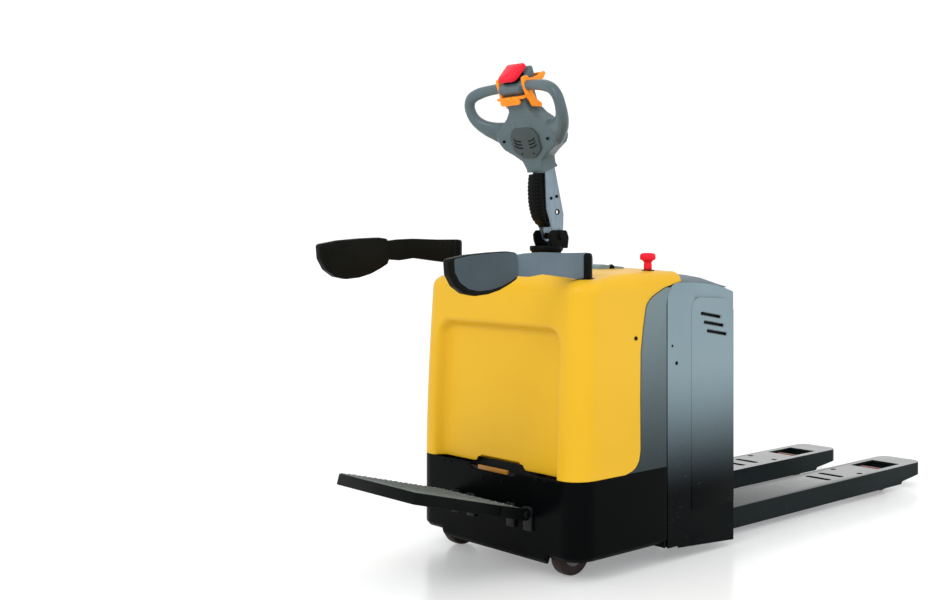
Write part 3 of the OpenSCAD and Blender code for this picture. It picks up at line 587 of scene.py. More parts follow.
def makeCover():
    c = cover
    bm = bmesh.new()
    wallRows, shoulderRows, topRows, columns = 66, 10, 22, 84
    total = wallRows + shoulderRows + topRows
    bmesh.ops.create_grid(bm, x_segments=columns, y_segments=total, size=0.5)
    for v in bm.verts:
        u, row = v.co.x + 0.5, (v.co.y + 0.5) * total
        past = row - wallRows
        step = (row / wallRows if past <= 0 else 1 + past / shoulderRows if past <= shoulderRows
                else 2 + (past - shoulderRows) / topRows)
        v.co = coverPoint(u, step)
        if step < 1.3:
            share = recessShare(v.co.y, v.co.z) * smooth(0.5, 0.57, u)
            v.co.x += c["recessDepth"] * share
            notch = smooth(112, 100, abs(v.co.y)) if u > 0.5 else 0
            if v.co.z < 300:
                v.co.z = max(v.co.z, c["low"] + 14 * notch)

    def near(face, x, y):
        middle = face.calc_center_median()
        return hypot(middle.x - x, middle.y - y)

    doomed = [f for f in bm.faces if near(f, postPlace.x, postPlace.y) < c["hole"] and f.calc_center_median().z > 740
              or near(f, pivot("steering").x, 0) < c["columnHole"]]
    bmesh.ops.delete(bm, geom=doomed, context="FACES")
    bmesh.ops.mirror(bm, geom=bm.verts[:] + bm.edges[:] + bm.faces[:], axis="Y", merge_dist=0.05)
    bmesh.ops.remove_doubles(bm, verts=bm.verts, dist=0.05)
    bmesh.ops.dissolve_degenerate(bm, dist=0.05, edges=bm.edges)
    bmesh.ops.recalc_face_normals(bm, faces=bm.faces)
    bm.normal_update()
    low = max(bm.faces, key=lambda f: f.calc_center_median().z)
    if low.normal.z < 0:
        bmesh.ops.reverse_faces(bm, faces=bm.faces)
    piece = finishPiece("driveCoverShell", bm, "chassis", "yellow", "drive_cover", normals=False, sharp=50)
    walled(piece, c["wall"], 1.4, 60)


makeCover()
print("drive cover done")

defaultFinish = {"frame_steel": "frame", "black_skirt": "skirt", "yellow_cover": "yellow", "dark_panel": "slate",
                 "grey_plastic": "head", "black_plastic": "black", "pad_foam": "foam", "mat_rubber": "mat",
                 "bare_steel": "zinc", "plate_metal": "plate", "red_plastic": "red", "orange_plastic": "orange",
                 "blue_plastic": "blue", "wheel_polyurethane": "tyre", "cast_metal": "cast",
                 "bronze_bush": "bronze", "battery_case": "battery"}


def dense(points, step):
    # a path with extra points along its long runs
    path = [Vector(points[0])]
    for a, b in zip(points, points[1:]):
        a, b = Vector(a), Vector(b)
        n = max(1, round((b - a).length / step))
        path += [a.lerp(b, k / n) for k in range(1, n + 1)]
    return path


# ---- Black base round the drive section ----
skirt = {"rear": cad("base_skirt")[0].x, "front": -286.5, "half": 359.8, "corner": 66, "low": 39, "sideLow": 58,
         "top": 271, "wall": 6, "notchHalf": 100, "notch": 16, "rearHalf": 235}


def makeSkirt():
    c = skirt
    bm = bmesh.new()
    corners = rounded([(c["front"], -c["half"]), (c["rear"], -c["half"]), (c["rear"], c["half"]),
                       (c["front"], c["half"])], [0, c["corner"], c["corner"], 0], 14)
    path = dense(corners, 9)
    levels = [0, 2, 5, 10, 16, 30, 60, 110, 160, 200, 214, 217, 220, 226, 229, 231, 232]
    rows = [[bm.verts.new((p.x, p.y, c["low"] + z)) for p in path] for z in levels]
    for below, above in zip(rows, rows[1:]):
        for i in range(len(path) - 1):
            bm.faces.new((below[i], below[i + 1], above[i + 1], above[i]))
    for v in bm.verts:
        z = v.co.z
        tuck = 8 * (1 - smooth(c["low"], c["low"] + 16, z)) ** 2 + 1.6 * smooth(c["top"] - 4, c["top"], z)
        away = smooth(c["rearHalf"] - 5, c["rearHalf"] + 5, abs(v.co.y))
        v.co.z += away * (c["sideLow"] - c["low"]) * (1 - smooth(c["low"], c["low"] + 90, z))
        cut = smooth(c["notchHalf"] + 5, c["notchHalf"] - 5, abs(v.co.y)) * (v.co.x < c["rear"] + 40)
        if z > c["top"] - c["notch"]:
            v.co.z = c["top"] - c["notch"] + (z - c["top"] + c["notch"]) * (1 - 0.98 * cut)
        centre = Vector((max(v.co.x, c["rear"] + c["corner"]), max(min(v.co.y, c["half"] - c["corner"]),
                                                                 c["corner"] - c["half"]), v.co.z))
        out = v.co - centre
        if out.length > 1:
            v.co = centre + out * (1 - tuck / out.length)
    bm.normal_update()
    low = min(bm.faces, key=lambda f: f.calc_center_median().x)
    if low.normal.x > 0:
        bmesh.ops.reverse_faces(bm, faces=bm.faces)
    piece = finishPiece("baseSkirtShell", bm, "chassis", "skirt", "base_skirt", sharp=40, normals=False)
    walled(piece, c["wall"], 1.2)


makeSkirt()


# ---- Steel columns between the cover and the side panels ----
column = {"front": -285.6, "low": 272, "outer": 359.6, "thick": 8, "gap": 2.2}


def makeColumn(side):
    c = column
    outline = [(c["front"], c["low"]), (c["front"], 726), (-282, 745), (-275, 761), (-264, 775)]
    outline += [(x + c["gap"], z - 1.5) for z, x in reversed(coverEdge) if 276 < z <= 777]
    outline += [(-444, c["low"])]
    bm = bmesh.new()
    slab(bm, outline, "xz", c["outer"] - c["thick"], c["outer"])
    soften(bm, 1.8, 3, 25, lambda e: all(v.co.y > c["outer"] - 0.1 for v in e.verts))
    block(bm, (c["front"] - 6, 300, 44), (c["front"] - 1, c["outer"] - 4, 735))
    flip(bm, side)
    finishPiece("steelColumn_" + side, bm, "chassis", "slateColumn", "side_columns", replaces=side == "left")


for side in ("left", "right"):
    makeColumn(side)
print("base and columns done")


# ---- Side panels of the battery section ----
panel = {"rear": -280.5, "top": 766, "low": 41, "frontLow": 17, "outer": 360, "step": 1.5, "thick": 13.5,
         "corner": 48, "crest": [(0, 755), (-38, 768), (-80, 777), (-150, 785), (-280.5, 790)],
         "bend": 740, "bow": 0.0062, "insetX": -183, "insetLow": 132, "insetTop": 745, "insetCorner": 36,
         "slot": 90, "slotHigh": 10, "slotTilt": 10, "slots": [(-145, 697), (-132, 671), (-119, 645)]}


def slotOutline(x, z, c, grow=0.0):
    dx, dz = cos(radians(c["slotTilt"])), -sin(radians(c["slotTilt"]))
    h = c["slotHigh"] / 2 + grow
    corners = [(x + a * dx - b * dz, z + a * dz + b * dx) for a, b in
               ((-grow, -h), (c["slot"] + grow, -h), (c["slot"] + grow, h), (-grow, h))]
    return rounded(corners, h * 0.8, 4)


def awayFromSlots(e):
    return all(not (-152 < v.co.x < -20 and 612 < v.co.z < 708) for v in e.verts)


def makePanel(side):
    c = panel
    name = "side_panel_" + side
    bm = bmesh.new()
    slots = [slotOutline(x, z, c) for x, z in c["slots"]]
    outline = rounded([(c["rear"], c["low"]), (-240, c["low"]), (-236, c["low"] - 6), (0, c["frontLow"]), *c["crest"]],
                      [3, 3, 3, 3, 5, 20, 30, 40, c["corner"]], 8)
    slab(bm, outline, "xz", c["outer"] - 5, c["outer"] - c["step"], slots)
    bmesh.ops.subdivide_edges(bm, edges=[e for e in bm.edges if min(v.co.z for v in e.verts) > 745], cuts=2)
    inset = rounded([(c["insetX"], c["insetLow"]), (-1, c["insetLow"]), (-1, 702), (-16, 724), (-46, 736),
                     (c["insetX"], c["insetTop"])], [6, 3, 12, 16, 30, c["insetCorner"]], 8)
    slab(bm, inset, "xz", c["outer"] - 3, c["outer"], slots)
    soften(bm, 1.1, 3, 40, lambda e: all(v.co.y > c["outer"] - 0.1 for v in e.verts) and awayFromSlots(e))
    block(bm, (c["rear"], c["outer"] - c["thick"], c["low"] + 3), (c["rear"] + 3, c["outer"] - 4, 630))
    block(bm, (-4, c["outer"] - c["thick"], c["frontLow"] + 8), (-1, c["outer"] - 4, c["top"] - 30))
    for v in bm.verts:  # beside the lid the top edge leans in, and it runs straight under the cover's nose
        v.co.y -= c["bow"] * max(v.co.z - c["bend"], 0) ** 2 * smooth(-212, -190, v.co.x)
    flip(bm, side)
    finishPiece("batteryPanel_" + side, bm, "lift_carriage", "slate", name, sharp=28)
    bm = bmesh.new()
    # painted shade: a black sheet behind the vent slots stands in for the shade inside the panel; the screw heads below
    # are real
    block(bm, (-160, c["outer"] - c["thick"] - 1, 606), (-14, c["outer"] - 10, 724))
    for x, z, r in ((-262, 610, 4), (-262, 118, 4), (-22, 62, 5), (-205, 62, 5)):
        turned(bm, [(0, 0.9), (r * 0.55, 0.8), (r * 0.95, 0.3), (r, -0.6), (0, -0.6)], "y",
               (x, c["outer"] - c["step"], z), 20)
    flip(bm, side)
    addDetail("slotBacking_" + side, bm, "lift_carriage", "black", name)
    bm = bmesh.new()
    # painted highlight: the lips are lighter grey than the panel they are pressed in
    for x, z in c["slots"]:  # rolled lip round each slot, proud at the bottom
        slab(bm, slotOutline(x, z, c, 1.6), "xz", c["outer"] - 4, c["outer"] + 0.0, [slotOutline(x, z, c, -0.6)])
    soften(bm, 0.7, 2, 50)
    flip(bm, side)
    addDetail("slotLips_" + side, bm, "lift_carriage", "rim", name)


for side in ("left", "right"):
    makePanel(side)
print("side panels done")


# ---- Battery lid ----
lid = {"rear": -196, "front": -2, "base": 767, "rounding": 14, "hingeY": 270, "fall": 30,
       "arc": [(340, 767), (339, 775), (326, 785), (282, 798), (228, 804), (174, 806), (100, 807.5), (0, 808)]}


def makeLid():
    c = lid
    arc = [Vector(p) for p in c["arc"]]
    outline = arc + [Vector((-p.x, p.y)) for p in reversed(arc[:-1])]
    bm = bmesh.new()
    slab(bm, outline, "yz", c["rear"], c["front"])
    soften(bm, c["rounding"], 6, 60, lambda e: max(v.co.z for v in e.verts) > c["base"] + 1
           and abs(e.verts[0].co.x - e.verts[1].co.x) < 0.1)
    bmesh.ops.subdivide_edges(bm, edges=[e for e in bm.edges if e.calc_length() > 100
                                         and abs(e.verts[0].co.x - e.verts[1].co.x) > 100], cuts=10)
    for v in bm.verts:  # the top falls away towards the forks
        drop = c["fall"] * smooth(-90, c["front"], v.co.x) ** 1.5
        v.co.z -= drop * (v.co.z - c["base"]) / 41
    finishPiece("batteryCover", bm, "lid", "lidSlate", "battery_lid", sharp=30)
    bm = bmesh.new()
    for y in (c["hingeY"], -c["hingeY"]):
        turned(bm, [(3.3, -8), (6, -8), (6, 8), (3.3, 8), (3.3, -8)], "y", (5, y, 768), 24)
        block(bm, (-3, y - 8, 768), (1, y + 8, 773))
    addDetail("lidKnuckles", bm, "lid", "frame", "battery_lid")


makeLid()
print("battery lid done")


# ---- Carriage wall, forks and their running gear ----
for node, width, finish in (("fork_heel", 1.6, "fork"), ("fork_left", 2.6, "forkTop"), ("fork_right", 2.6, "forkTop"),
                            ("battery_tray", 1.0, "frame"), ("battery_block", 1.2, "battery"),
                            ("roller_arm_left", 1.2, "cast"), ("roller_arm_right", 1.2, "cast"),
                            ("castor_fork_left", 1.4, "cast"), ("castor_fork_right", 1.4, "cast"),
                            ("lift_crank", 1.2, "cast"), ("platform_brackets", 1.2, "frame"),
                            ("tiller_plates", 1.3, "plate"), ("battery_plug", 1.5, "black"),
                            ("dash_console", 3.0, "console"), ("horn_button", 0.8, "blue")):
    softCopy(node, width, finish)
print("fork gear done")


# ---- Side arms ----
arm = {"post": pivot("arm_fold_right").x, "out": 293, "radius": 17, "band": 8, "pad": 14.5, "rise": 33,
       "padOutline": [(-990, 866), (-930, 876), (-860, 881), (-806, 883), (-781, 880), (-775, 842), (-776, 812),
                      (-800, 799), (-832, 785), (-868, 776), (-908, 773), (-942, 780), (-970, 799), (-987, 828)],
       "bandOutline": [(-514, 806), (-514, 874), (-530, 876), (-600, 876), (-686, 879), (-740, 877), (-784, 872),
                       (-784, 820), (-735, 816), (-686, 822), (-610, 812), (-562, 806)]}


def makeArm(side):
    c = arm
    body, lift = "arm_" + side, c["rise"] if side == "left" else 0
    # painted sheen: the near (right) arm's pad faces are lighter than the far (left) arm's, which keep the dark foam
    dark = "foamDark" if side == "left" else "foam"
    bm = bmesh.new()
    grow = 1.03 if side == "left" else 1.0
    points = [(-775 + (x + 775) * grow, 883 + lift + (z - 883) * grow ** 2) for x, z in c["padOutline"]]
    outline = rounded(points, [9] + [20] * 3 + [6, 10, 8] + [20] * 6 + [14], 6)
    slab(bm, outline, "xz", c["out"] - c["pad"], c["out"] + c["pad"])
    soften(bm, 8, 5, 50)
    flip(bm, side)
    pad = finishPiece("armPadBody_" + side, bm, body, "foamDark", "arm_pad_" + side, sharp=60)
    # flatter face with a stitched-looking groove round it
    bm = bmesh.new()
    face = [Vector((-778 + (p.x + 778) * 0.93, 879 + lift + (p.y - 881 - lift) * 0.87)) for p in outline]
    for low, high in ((c["out"] + c["pad"] - 1.5, c["out"] + c["pad"] + 0.8),
                      (c["out"] - c["pad"] - 0.8, c["out"] - c["pad"] + 1.5)):
        slab(bm, face, "xz", low, high)
    soften(bm, 0.7, 2, 50)
    flip(bm, side)
    face = addDetail("armPadFace_" + side, bm, body, dark, "arm_pad_" + side, sharp=60)
    bm = bmesh.new()
    outline = rounded([(x, z + lift) for x, z in c["bandOutline"]], [3, 14, 20, 30, 30, 30, 2, 2, 30, 30, 30, 16], 6)
    slab(bm, outline, "xz", c["out"] - c["band"], c["out"] + c["band"])
    soften(bm, 3, 3, 50)
    flip(bm, side)
    # painted sheen: the near band is lighter than the far one
    finishPiece("armBand_" + side, bm, body, "band" if side == "right" else "foamDark", "side_arm_" + side, sharp=50)
    bm = bmesh.new()
    r, top = c["radius"], 875 + lift
    turned(bm, [(0, 641), (r - 2, 641), (r, 643), (r, 795), (r, 798), (r + 7, 799), (r + 8, 802), (r + 7, 806),
                (r, 808), (r, top - 8), (r - 2, top - 3), (r - 6, top), (0, top + 1)], "z", (c["post"], c["out"], 0),
                40)
    flip(bm, side)
    addDetail("armPost_" + side, bm, body, "black", "side_arm_" + side, sharp=50)


for side in ("left", "right"):
    makeArm(side)
print("side arms done")


# ---- Platform ----
platPlace = Matrix.Translation(pivot("platform_fold")) @ Matrix.Rotation(radians(15.7), 4, "Y")
mat = {"border": 7, "pitch": 17, "stud": 5.4, "high": 2.2}


def makePlatform():
    c = mat
    low, high = localBox("platform_mat", platPlace)
    bm = bmesh.new()
    block(bm, low, (high.x, high.y, high.z - c["high"]))
    soften(bm, 1.4, 2, 60)
    rows = int((high.x - low.x - 2 * c["border"]) / c["pitch"])
    columns = int((high.y - low.y - 2 * c["border"]) / c["pitch"])
    for i in range(rows):
        for k in range(columns):
            x = (low.x + high.x) / 2 + (i - (rows - 1) / 2) * c["pitch"]
            y = (low.y + high.y) / 2 + (k - (columns - 1) / 2) * c["pitch"]
            turn = Matrix.Rotation(radians(45 if (i + k) % 2 else -45), 4, "Z")
            bmesh.ops.create_cone(bm, cap_ends=True, segments=4, radius1=c["stud"], radius2=c["stud"] * 0.55,
                                  depth=c["high"], matrix=Matrix.Translation((x, y, high.z - c["high"] / 2)) @ turn
                                  @ Matrix.Diagonal((1.5, 0.5, 1, 1)) @ Matrix.Rotation(pi / 4, 4, "Z"))
    put(bm, platPlace)
    finishPiece("studdedMat", bm, "platform", "mat", "platform_mat", sharp=25)
    softCopy("platform_frame", 1.8, "black")
    bm = bmesh.new()  # cheek over the hinge at each side
    for s in (-1, 1):
        low, high = sorted((s * 181, s * 183.6))
        slab(bm, rounded([(-90, -17), (14, -17), (14, 15), (-90, 12)], [2, 14, 14, 2], 8), "xz", low, high)
        turnedOut(bm, [(0, 186), (4, 186), (6, 185), (6.5, 183), (0, 183)], s, 0, 0, 24)
    soften(bm, 0.8, 2, 60)
    put(bm, platPlace)
    addDetail("platformCheeks", bm, "platform", "black", "platform_frame", sharp=40)


makePlatform()
softCopy("platform_pin", 0.8, "frame")
print("platform done")


# ---- Wheels and rollers ----
wheels = {  # node: (body, width, tread radius, bore, hub radius)
    "load_roller_left": ("roller_left", 96, 40, 11, 20), "load_roller_right": ("roller_right", 96, 40, 11, 20),
    "castor_wheel_left": ("castor_roll_left", 38, 55, 8.5, 30),
    "castor_wheel_right": ("castor_roll_right", 38, 55, 8.5, 30)}


def makeWheels():
    for node, (body, width, r, bore, hub) in wheels.items():
        low, high = cad(node)
        centre, w = (low + high) / 2, width / 2
        bm = bmesh.new()
        turned(bm, [(hub, -w + 3), (r - 8, -w + 2), (r - 5, -w), (r - 2, -w + 1.5), (r - 0.6, -w + 5), (r, 0),
                    (r - 0.6, w - 5), (r - 2, w - 1.5), (r - 5, w), (r - 8, w - 2), (hub, w - 3), (hub, -w + 3)],
               "y", centre, 64)
        finishPiece(node + "Tread", bm, body, "castor" if r > 50 else "tyre", node, sharp=45)
        bm = bmesh.new()
        turned(bm, [(bore, -w + 1), (hub - 2, -w + 1), (hub, -w + 3), (hub, w - 3), (hub - 2, w - 1), (bore, w - 1),
                    (bore, -w + 1)], "y", centre, 48)
        addDetail(node + "Hub", bm, body, "cast", node, sharp=40)


makeWheels()
print("wheels done")


# ---- Emergency stop, console and screws ----
def makeStop():
    low, high = cad("stop_button")
    x, y = (low.x + high.x) / 2, (low.y + high.y) / 2
    bm = bmesh.new()
    z = high.z
    turned(bm, [(0, low.z), (8, low.z), (8, z - 54), (8, z - 52), (10.5, z - 50), (12, z - 46), (12, z - 34),
                (11, z - 30), (12.5, z - 26), (17, z - 21.5), (21.5, z - 20), (23, z - 17.5), (23, z - 9), (22, z - 5),
                (19, z - 2), (12, z - 0.4), (0, z)], "z", (x, y, 0), 56)
    finishPiece("stopMushroom", bm, "emergency_stop", "red", "stop_button", sharp=40)
    low, high = cad("stop_switch_base")
    bm = bmesh.new()
    turned(bm, [(8.4, low.z), (13.6, low.z), (13.6, high.z - 6), (17.5, high.z - 6), (19, high.z - 4.5),
                (19, high.z - 2), (17, high.z), (13, high.z), (12, high.z - 1.4), (8.4, high.z - 1.4), (8.4, low.z)],
                "z", (x, y, 0), 48)
    finishPiece("stopCollar", bm, "chassis", "black", "stop_switch_base", sharp=40)


def makeConsole():
    low, high = cad("dash_console")
    bm = bmesh.new()
    for i in range(9):  # grip ridges across the sloping top
        f = (i + 1) / 10
        x, z = -338 + 83 * f, high.z - 9 * f
        block(bm, (x - 1.4, -138, z - 1.5), (x + 1.4, 138, z + 0.6))
    soften(bm, 0.6, 2, 60)
    addDetail("consoleRidges", bm, "chassis", "black", "dash_console", sharp=40)
    bm = bmesh.new()
    for y in (-149, 149):
        turned(bm, [(0, -4), (9.5, -4), (10.5, -2), (10.5, 2), (9, 5), (0, 5)], "y", (-300, y * 0.985, 827), 32)
    addDetail("consoleTips", bm, "chassis", "black", "dash_console", sharp=40)


def makeScrews():
    bm = bmesh.new()
    head = [(0, 0.4), (2.4, 0.4), (2.8, 1.6), (4.2, 1.9), (5.2, 1.2), (5.6, -1), (0, -1)]
    for s in (-1, 1):
        for x, z in ((-405, 640), (-245, 560)):
            turnedOut(bm, head, s, x, z, 24, s * 358.5)
    for y, z in ((-230, 262), (-194, 262), (194, 262), (230, 262), (-46, 236), (46, 236)):
        turned(bm, [(r, -a) for r, a in head], "x", (skirt["rear"] - 0.4, y, z), 24)
    for s in (-1, 1):
        block(bm, (-284, s * 320 - 20, 700), (-262, s * 320 + 20, 778))
    finishPiece("coverScrewHeads", bm, "chassis", "black", "cover_screws", sharp=40)
    bm = bmesh.new()  # bright edge of the hinge cover in the notch
    block(bm, (skirt["rear"] + 1, -66, 257), (skirt["rear"] + 8, 66, 269))
    soften(bm, 1.2, 2, 60)
    addDetail("hingeStrip", bm, "chassis", "amber", "cover_screws", sharp=40)


makeStop()
makeConsole()
makeScrews()
print("controls on the cover done")


# ---- Tiller column ----
columnPlace = Matrix.Translation(pivot("tiller_tilt")) @ Matrix.Rotation(radians(-9.9), 4, "Y")
headPlace = columnPlace @ Matrix.Translation((0, 0, 197)) @ Matrix.Rotation(radians(9.9 - 20), 4, "Y")
gaiter = {"front": [(30, -34), (60, -55), (85, -60), (112, -61), (150, -56), (189, -46)],
          "back": [(30, -2), (60, 4), (100, 9), (189, 12)], "half": 22.4, "bulge": 28, "pitch": 11, "rib": 2.0}


def makeGaiter():
    c = gaiter
    bm = bmesh.new()
    stations, sizes = [], []
    for i in range(80):
        z = 31 + 157 * i / 79
        rib = c["rib"] * (0.5 + 0.5 * cos(2 * pi * z / c["pitch"])) ** 0.7 * smooth(30, 45, z) * smooth(190, 170, z)
        front, back = between(c["front"], z) + rib * 0.4, between(c["back"], z)
        stations.append(Matrix.Translation((0, 0, z)))
        sizes.append((front + 3.2 - rib, back, rib))

    def shape(co, i):
        front, back, rib = sizes[i]
        x, y = co.x, co.y
        p = 0.45
        x, y = (abs(x) ** p) * (1 if x > 0 else -1), (abs(y) ** p) * (1 if y > 0 else -1)
        x = front + (back - front) * (x + 1) / 2
        wide = c["half"] + (c["bulge"] - c["half"] + rib - 3) * smooth(-33, -38, x)
        return Vector((x, y * wide, 0))

    loft(bm, stations, 40, shape)
    put(bm, columnPlace)
    finishPiece("ribbedGaiter", bm, "tiller", "boot", "column_cover", sharp=70)


makeGaiter()


def makePlateBolts():
    bm = bmesh.new()
    for s in (-1, 1):
        for x, z in ((-9, 113), (13, 115)):
            turnedOut(bm, [(0, 31.5), (3.4, 31.5), (4.6, 30.6), (5, 28), (0, 28)], s, x, z, 24)
        turnedOut(bm, [(6.2, 28), (6.2, 30), (8, 30), (8.6, 28), (6.2, 28)], s, 8, 70, 32)
    put(bm, columnPlace)
    addDetail("plateBolts", bm, "tiller", "black", "tiller_plates", sharp=40)


makePlateBolts()


# ---- Swivel base of the tiller ----
def makeBase():
    x = pivot("steering").x
    bm = bmesh.new()
    turned(bm, [(33, 822), (57, 822), (59, 824), (58, 828), (50, 833), (47, 838), (51, 843), (48, 848), (43, 853),
                (47, 858), (45, 863), (41, 868), (44, 874), (48, 878), (49, 881), (49, 888), (47, 891.5), (33, 891.5),
                (33, 822)], "z", (x, 0, 0), 64)
    finishPiece("swivelBoot", bm, "steer_unit", "boot", "tiller_base", sharp=40)
    bm = bmesh.new()
    outline = rounded([(-430, 884), (-372, 884), (-368, 915), (-376, 937), (-432, 937), (-442, 926), (-440, 908)],
                      [3, 3, 8, 10, 8, 8, 10], 6)
    for low, high in ((-39, -31), (31, 39)):
        slab(bm, outline, "xz", low, high)
    slab(bm, rounded([(-437, 884), (-374, 884), (-374, 899), (-404, 899), (-420, 890), (-437, 890)], 2, 4),
         "xz", -36, 36)
    soften(bm, 2.2, 3, 50)
    for s in (-1, 1):
        turnedOut(bm, [(0, 39), (13, 39), (13, 41), (11, 42.5), (0, 42.5)], s, -400, 920, 6)
    addDetail("swivelEars", bm, "steer_unit", "black", "tiller_base", sharp=40)


makeBase()
print("tiller column done")


# ---- Tiller head ----
head = {"voxel": 2.6, "smooth": 10, "collar": (37, 28),
        "bodyOutline": [(-36, 10), (36, 10), (44, 36), (70, 52), (112, 74), (128, 96), (120, 126), (88, 150), (60, 168),
                        (46, 184), (-46, 184), (-60, 168), (-88, 150), (-120, 126), (-128, 96), (-112, 74), (-70, 52),
                        (-44, 36)],
        "cap": [(25, 236), (-42, 236), (-49, 248), (-47, 258), (14, 296), (24, 306), (27, 296)],
        "loop": [(-4, 78, 104), (-8, 112, 116), (-18, 146, 130), (-30, 174, 148), (-40, 193, 172), (-44, 200, 196),
                 (-44, 198, 220), (-41, 182, 240), (-34, 150, 250), (-28, 112, 254), (-22, 74, 255), (-18, 30, 254)],
        "loopRadius": [(44, 24), (38, 21), (29, 19), (23, 17), (18.5, 16), (16, 15.5), (16, 15.5), (17, 15), (17, 15),
                       (15.5, 14.5), (15, 14.5), (17, 16)]}


def makeHead():
    c = head
    bm = bmesh.new()
    w, h = c["collar"]
    block(bm, (-30, -w, 0.5), (24, w, h))
    block(bm, (-32, -w - 2, 0.5), (26, w + 2, 7))
    slab(bm, rounded(c["bodyOutline"], 8, 4), "yz", -33, 22)
    slab(bm, rounded([(-44, 60), (44, 60), (40, 160), (-40, 160)], 10, 4), "yz", -37, 26)
    block(bm, (-33, -43, 150), (15, 43, 246))
    slab(bm, rounded(c["cap"], [8, 8, 8, 8, 6, 2, 4], 5), "xz", -46, 46)
    for s in (-1, 1):
        path = curved([(x, s * y, z) for x, y, z in c["loop"]], 5)
        sizes = [Vector(r) for r in c["loopRadius"]]
        radii = [a.lerp(b, k / 5) for a, b in zip(sizes, sizes[1:]) for k in range(5)] + sizes[-1:]
        loft(bm, along(path, radii, axes["x"]), 24)
    put(bm, headPlace)
    piece = finishPiece("headShell", bm, "tiller", "head", "tiller_head", sharp=180)
    remesh = piece.modifiers.new("Remesh", "REMESH")
    remesh.mode, remesh.voxel_size, remesh.use_smooth_shade = "VOXEL", c["voxel"] / 1000, True
    relax = piece.modifiers.new("Relax", "SMOOTH")
    relax.factor, relax.iterations = 0.5, c["smooth"]


makeHead()

trim = {"panel": [(-26, 48), (26, 48), (60, 70), (62, 112), (40, 138), (-40, 138), (-62, 112), (-60, 70)],
        "face": -36.4, "louvres": [76, 86, 96]}


def makeHeadTrim():
    c = trim
    bm = bmesh.new()
    slab(bm, rounded(c["panel"], [10, 10, 14, 14, 26, 26, 14, 14], 6), "yz", c["face"] - 2.0, c["face"] + 6)
    soften(bm, 1.0, 3, 50)
    put(bm, headPlace)
    addDetail("headInsetPanel", bm, "tiller", "headInset", "tiller_head", sharp=40)
    bm = bmesh.new()
    for s in (-1, 1):
        for i, z in enumerate(c["louvres"]):
            points = [(s * y, z + lean) for y, lean in ((16, 0), (28, 0.6), (40, 3.6), (48 - i, 9))]
            points += [(y, z + 3.2) for y, z in reversed(points)]
            slab(bm, points, "yz", c["face"] - 3.2, c["face"] - 1.4)
    for y, z, r in ((-98, 100, 4), (98, 100, 4), (-26, 60, 2.4), (26, 60, 2.4)):
        depth = c["face"] - 2.2 if abs(y) < 50 else -36.2
        turned(bm, [(0, -0.6), (r * 0.4, -0.6), (r * 0.5, -1.6), (r, -1.4), (r, 4), (0, 4)], "x", (depth, y, z), 18)
    put(bm, headPlace)
    addDetail("headLouvres", bm, "tiller", "black", "tiller_head", sharp=40)


makeHeadTrim()

seat = headPlace @ Matrix.Translation((-17, 0, 293)) @ Matrix.Rotation(radians(-31), 4, "Y")
belly = {"half": (33, 39.5), "low": -3, "high": 9.5, "rounding": 6}


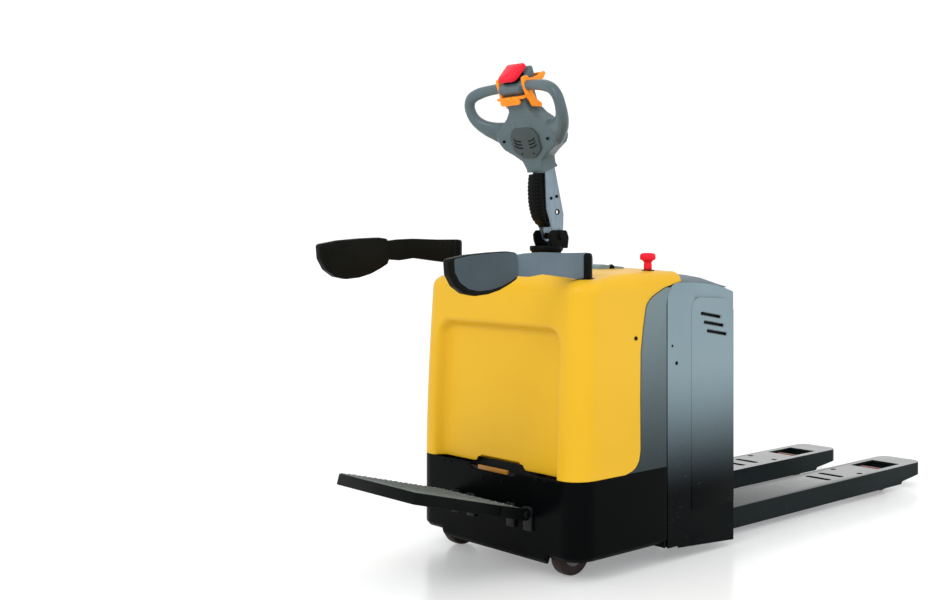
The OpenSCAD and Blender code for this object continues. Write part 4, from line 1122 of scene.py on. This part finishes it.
def makeBelly():
    c = belly
    bm = bmesh.new()
    x, y = c["half"]
    outline = rounded([(-x, -y), (x, -y), (x, y), (-x, y)], [16, 10, 10, 16], 8)
    slab(bm, outline, "xy", c["low"], c["high"])
    soften(bm, c["rounding"], 5, 60, lambda e: all(v.co.z > c["high"] - 0.1 for v in e.verts))
    bm.normal_update()
    under = [f for f in bm.faces if f.calc_center_median().z < c["low"] + 0.1]
    bmesh.ops.inset_region(bm, faces=under, thickness=4, use_even_offset=True)
    for v in {v for f in under for v in f.verts}:
        v.co.z += 8
    put(bm, seat)
    finishPiece("bellyPad", bm, "belly", "red", "belly_button", sharp=60)
    bm = bmesh.new()
    outline = rounded([(-x + 9, -y + 10), (x - 9, -y + 10), (x - 9, y - 10), (-x + 9, y - 10)], 8, 6)
    slab(bm, outline, "xy", c["high"] - 1, c["high"] + 0.8)
    soften(bm, 0.7, 2, 60)
    put(bm, seat)
    addDetail("bellyPadRaised", bm, "belly", "red", "belly_button", sharp=60)
    bm = bmesh.new()  # dark guide that the pad slides over
    outline = rounded([(-x + 7, -y + 7), (x - 20, -y + 7), (x - 20, y - 7), (-x + 7, y - 7)], 6, 6)
    slab(bm, outline, "xy", -15, -4.2)
    put(bm, seat)
    addDetail("bellyGuide", bm, "tiller", "black", "tiller_head", sharp=40)


makeBelly()

wings = {"bar": [(-33, 283), (-36, 262), (-34, 226), (-26, 210), (-22, 194), (8, 184), (12, 194), (-4, 212), (-10, 232),
                 (-12, 256), (22, 250), (44, 262), (54, 272), (50, 279), (30, 272), (-10, 272), (-14, 283)],
         "inside": 51, "outside": 62}


def makeWings():
    c = wings
    bm = bmesh.new()
    outline = rounded(c["bar"], [7, 10, 12, 12, 8, 4, 4, 12, 14, 10, 10, 10, 3, 3, 10, 8, 6], 5)
    for s in (-1, 1):
        low, high = sorted((s * c["inside"], s * c["outside"]))
        slab(bm, outline, "xz", low, high)
    slab(bm, rounded([(-42, 208), (42, 208), (40, 231), (-40, 231)], 7, 5), "yz", -55, -46)
    slab(bm, rounded([(-58, 223), (58, 223), (58, 231), (-58, 231)], 2, 3), "yz", -50, -32)
    slab(bm, rounded([(-52, 265), (52, 265), (52, 277), (-52, 277)], 3, 4), "yz", 43.5, 52.5)
    soften(bm, 2.6, 3, 50)
    for s in (-1, 1):
        turnedOut(bm, [(0, 61), (9, 61), (8.4, 63.5), (0, 64)], s, -25, 236, 28)
    for i in range(3):  # finger ribs
        block(bm, (-56.2, -30, 213 + 5 * i), (-54, 30, 215 + 5 * i))
    put(bm, headPlace)
    finishPiece("throttlePaddles", bm, "throttle", "orange", "throttle_wings", sharp=45)
    softCopy("lift_rocker", 1.0, "black")


makeWings()
print("tiller head done")


# ---- CAD pieces that stay as they are, with a finish each ----
bareFinish = {"tiller_pin": "black", "chassis_frame": "frame", "mast_frame": "frame", "lift_cylinder": "frame",
              "hydraulic_tank": "frame"}
for nodeName, node in frame["nodes"].items():
    if node.hide_render:
        continue
    chosen = bareFinish.get(nodeName, defaultFinish[slotOf[nodeName]])
    node.data.materials.clear()
    node.data.materials.append(finishes[chosen])
print("carried-over pieces finished")
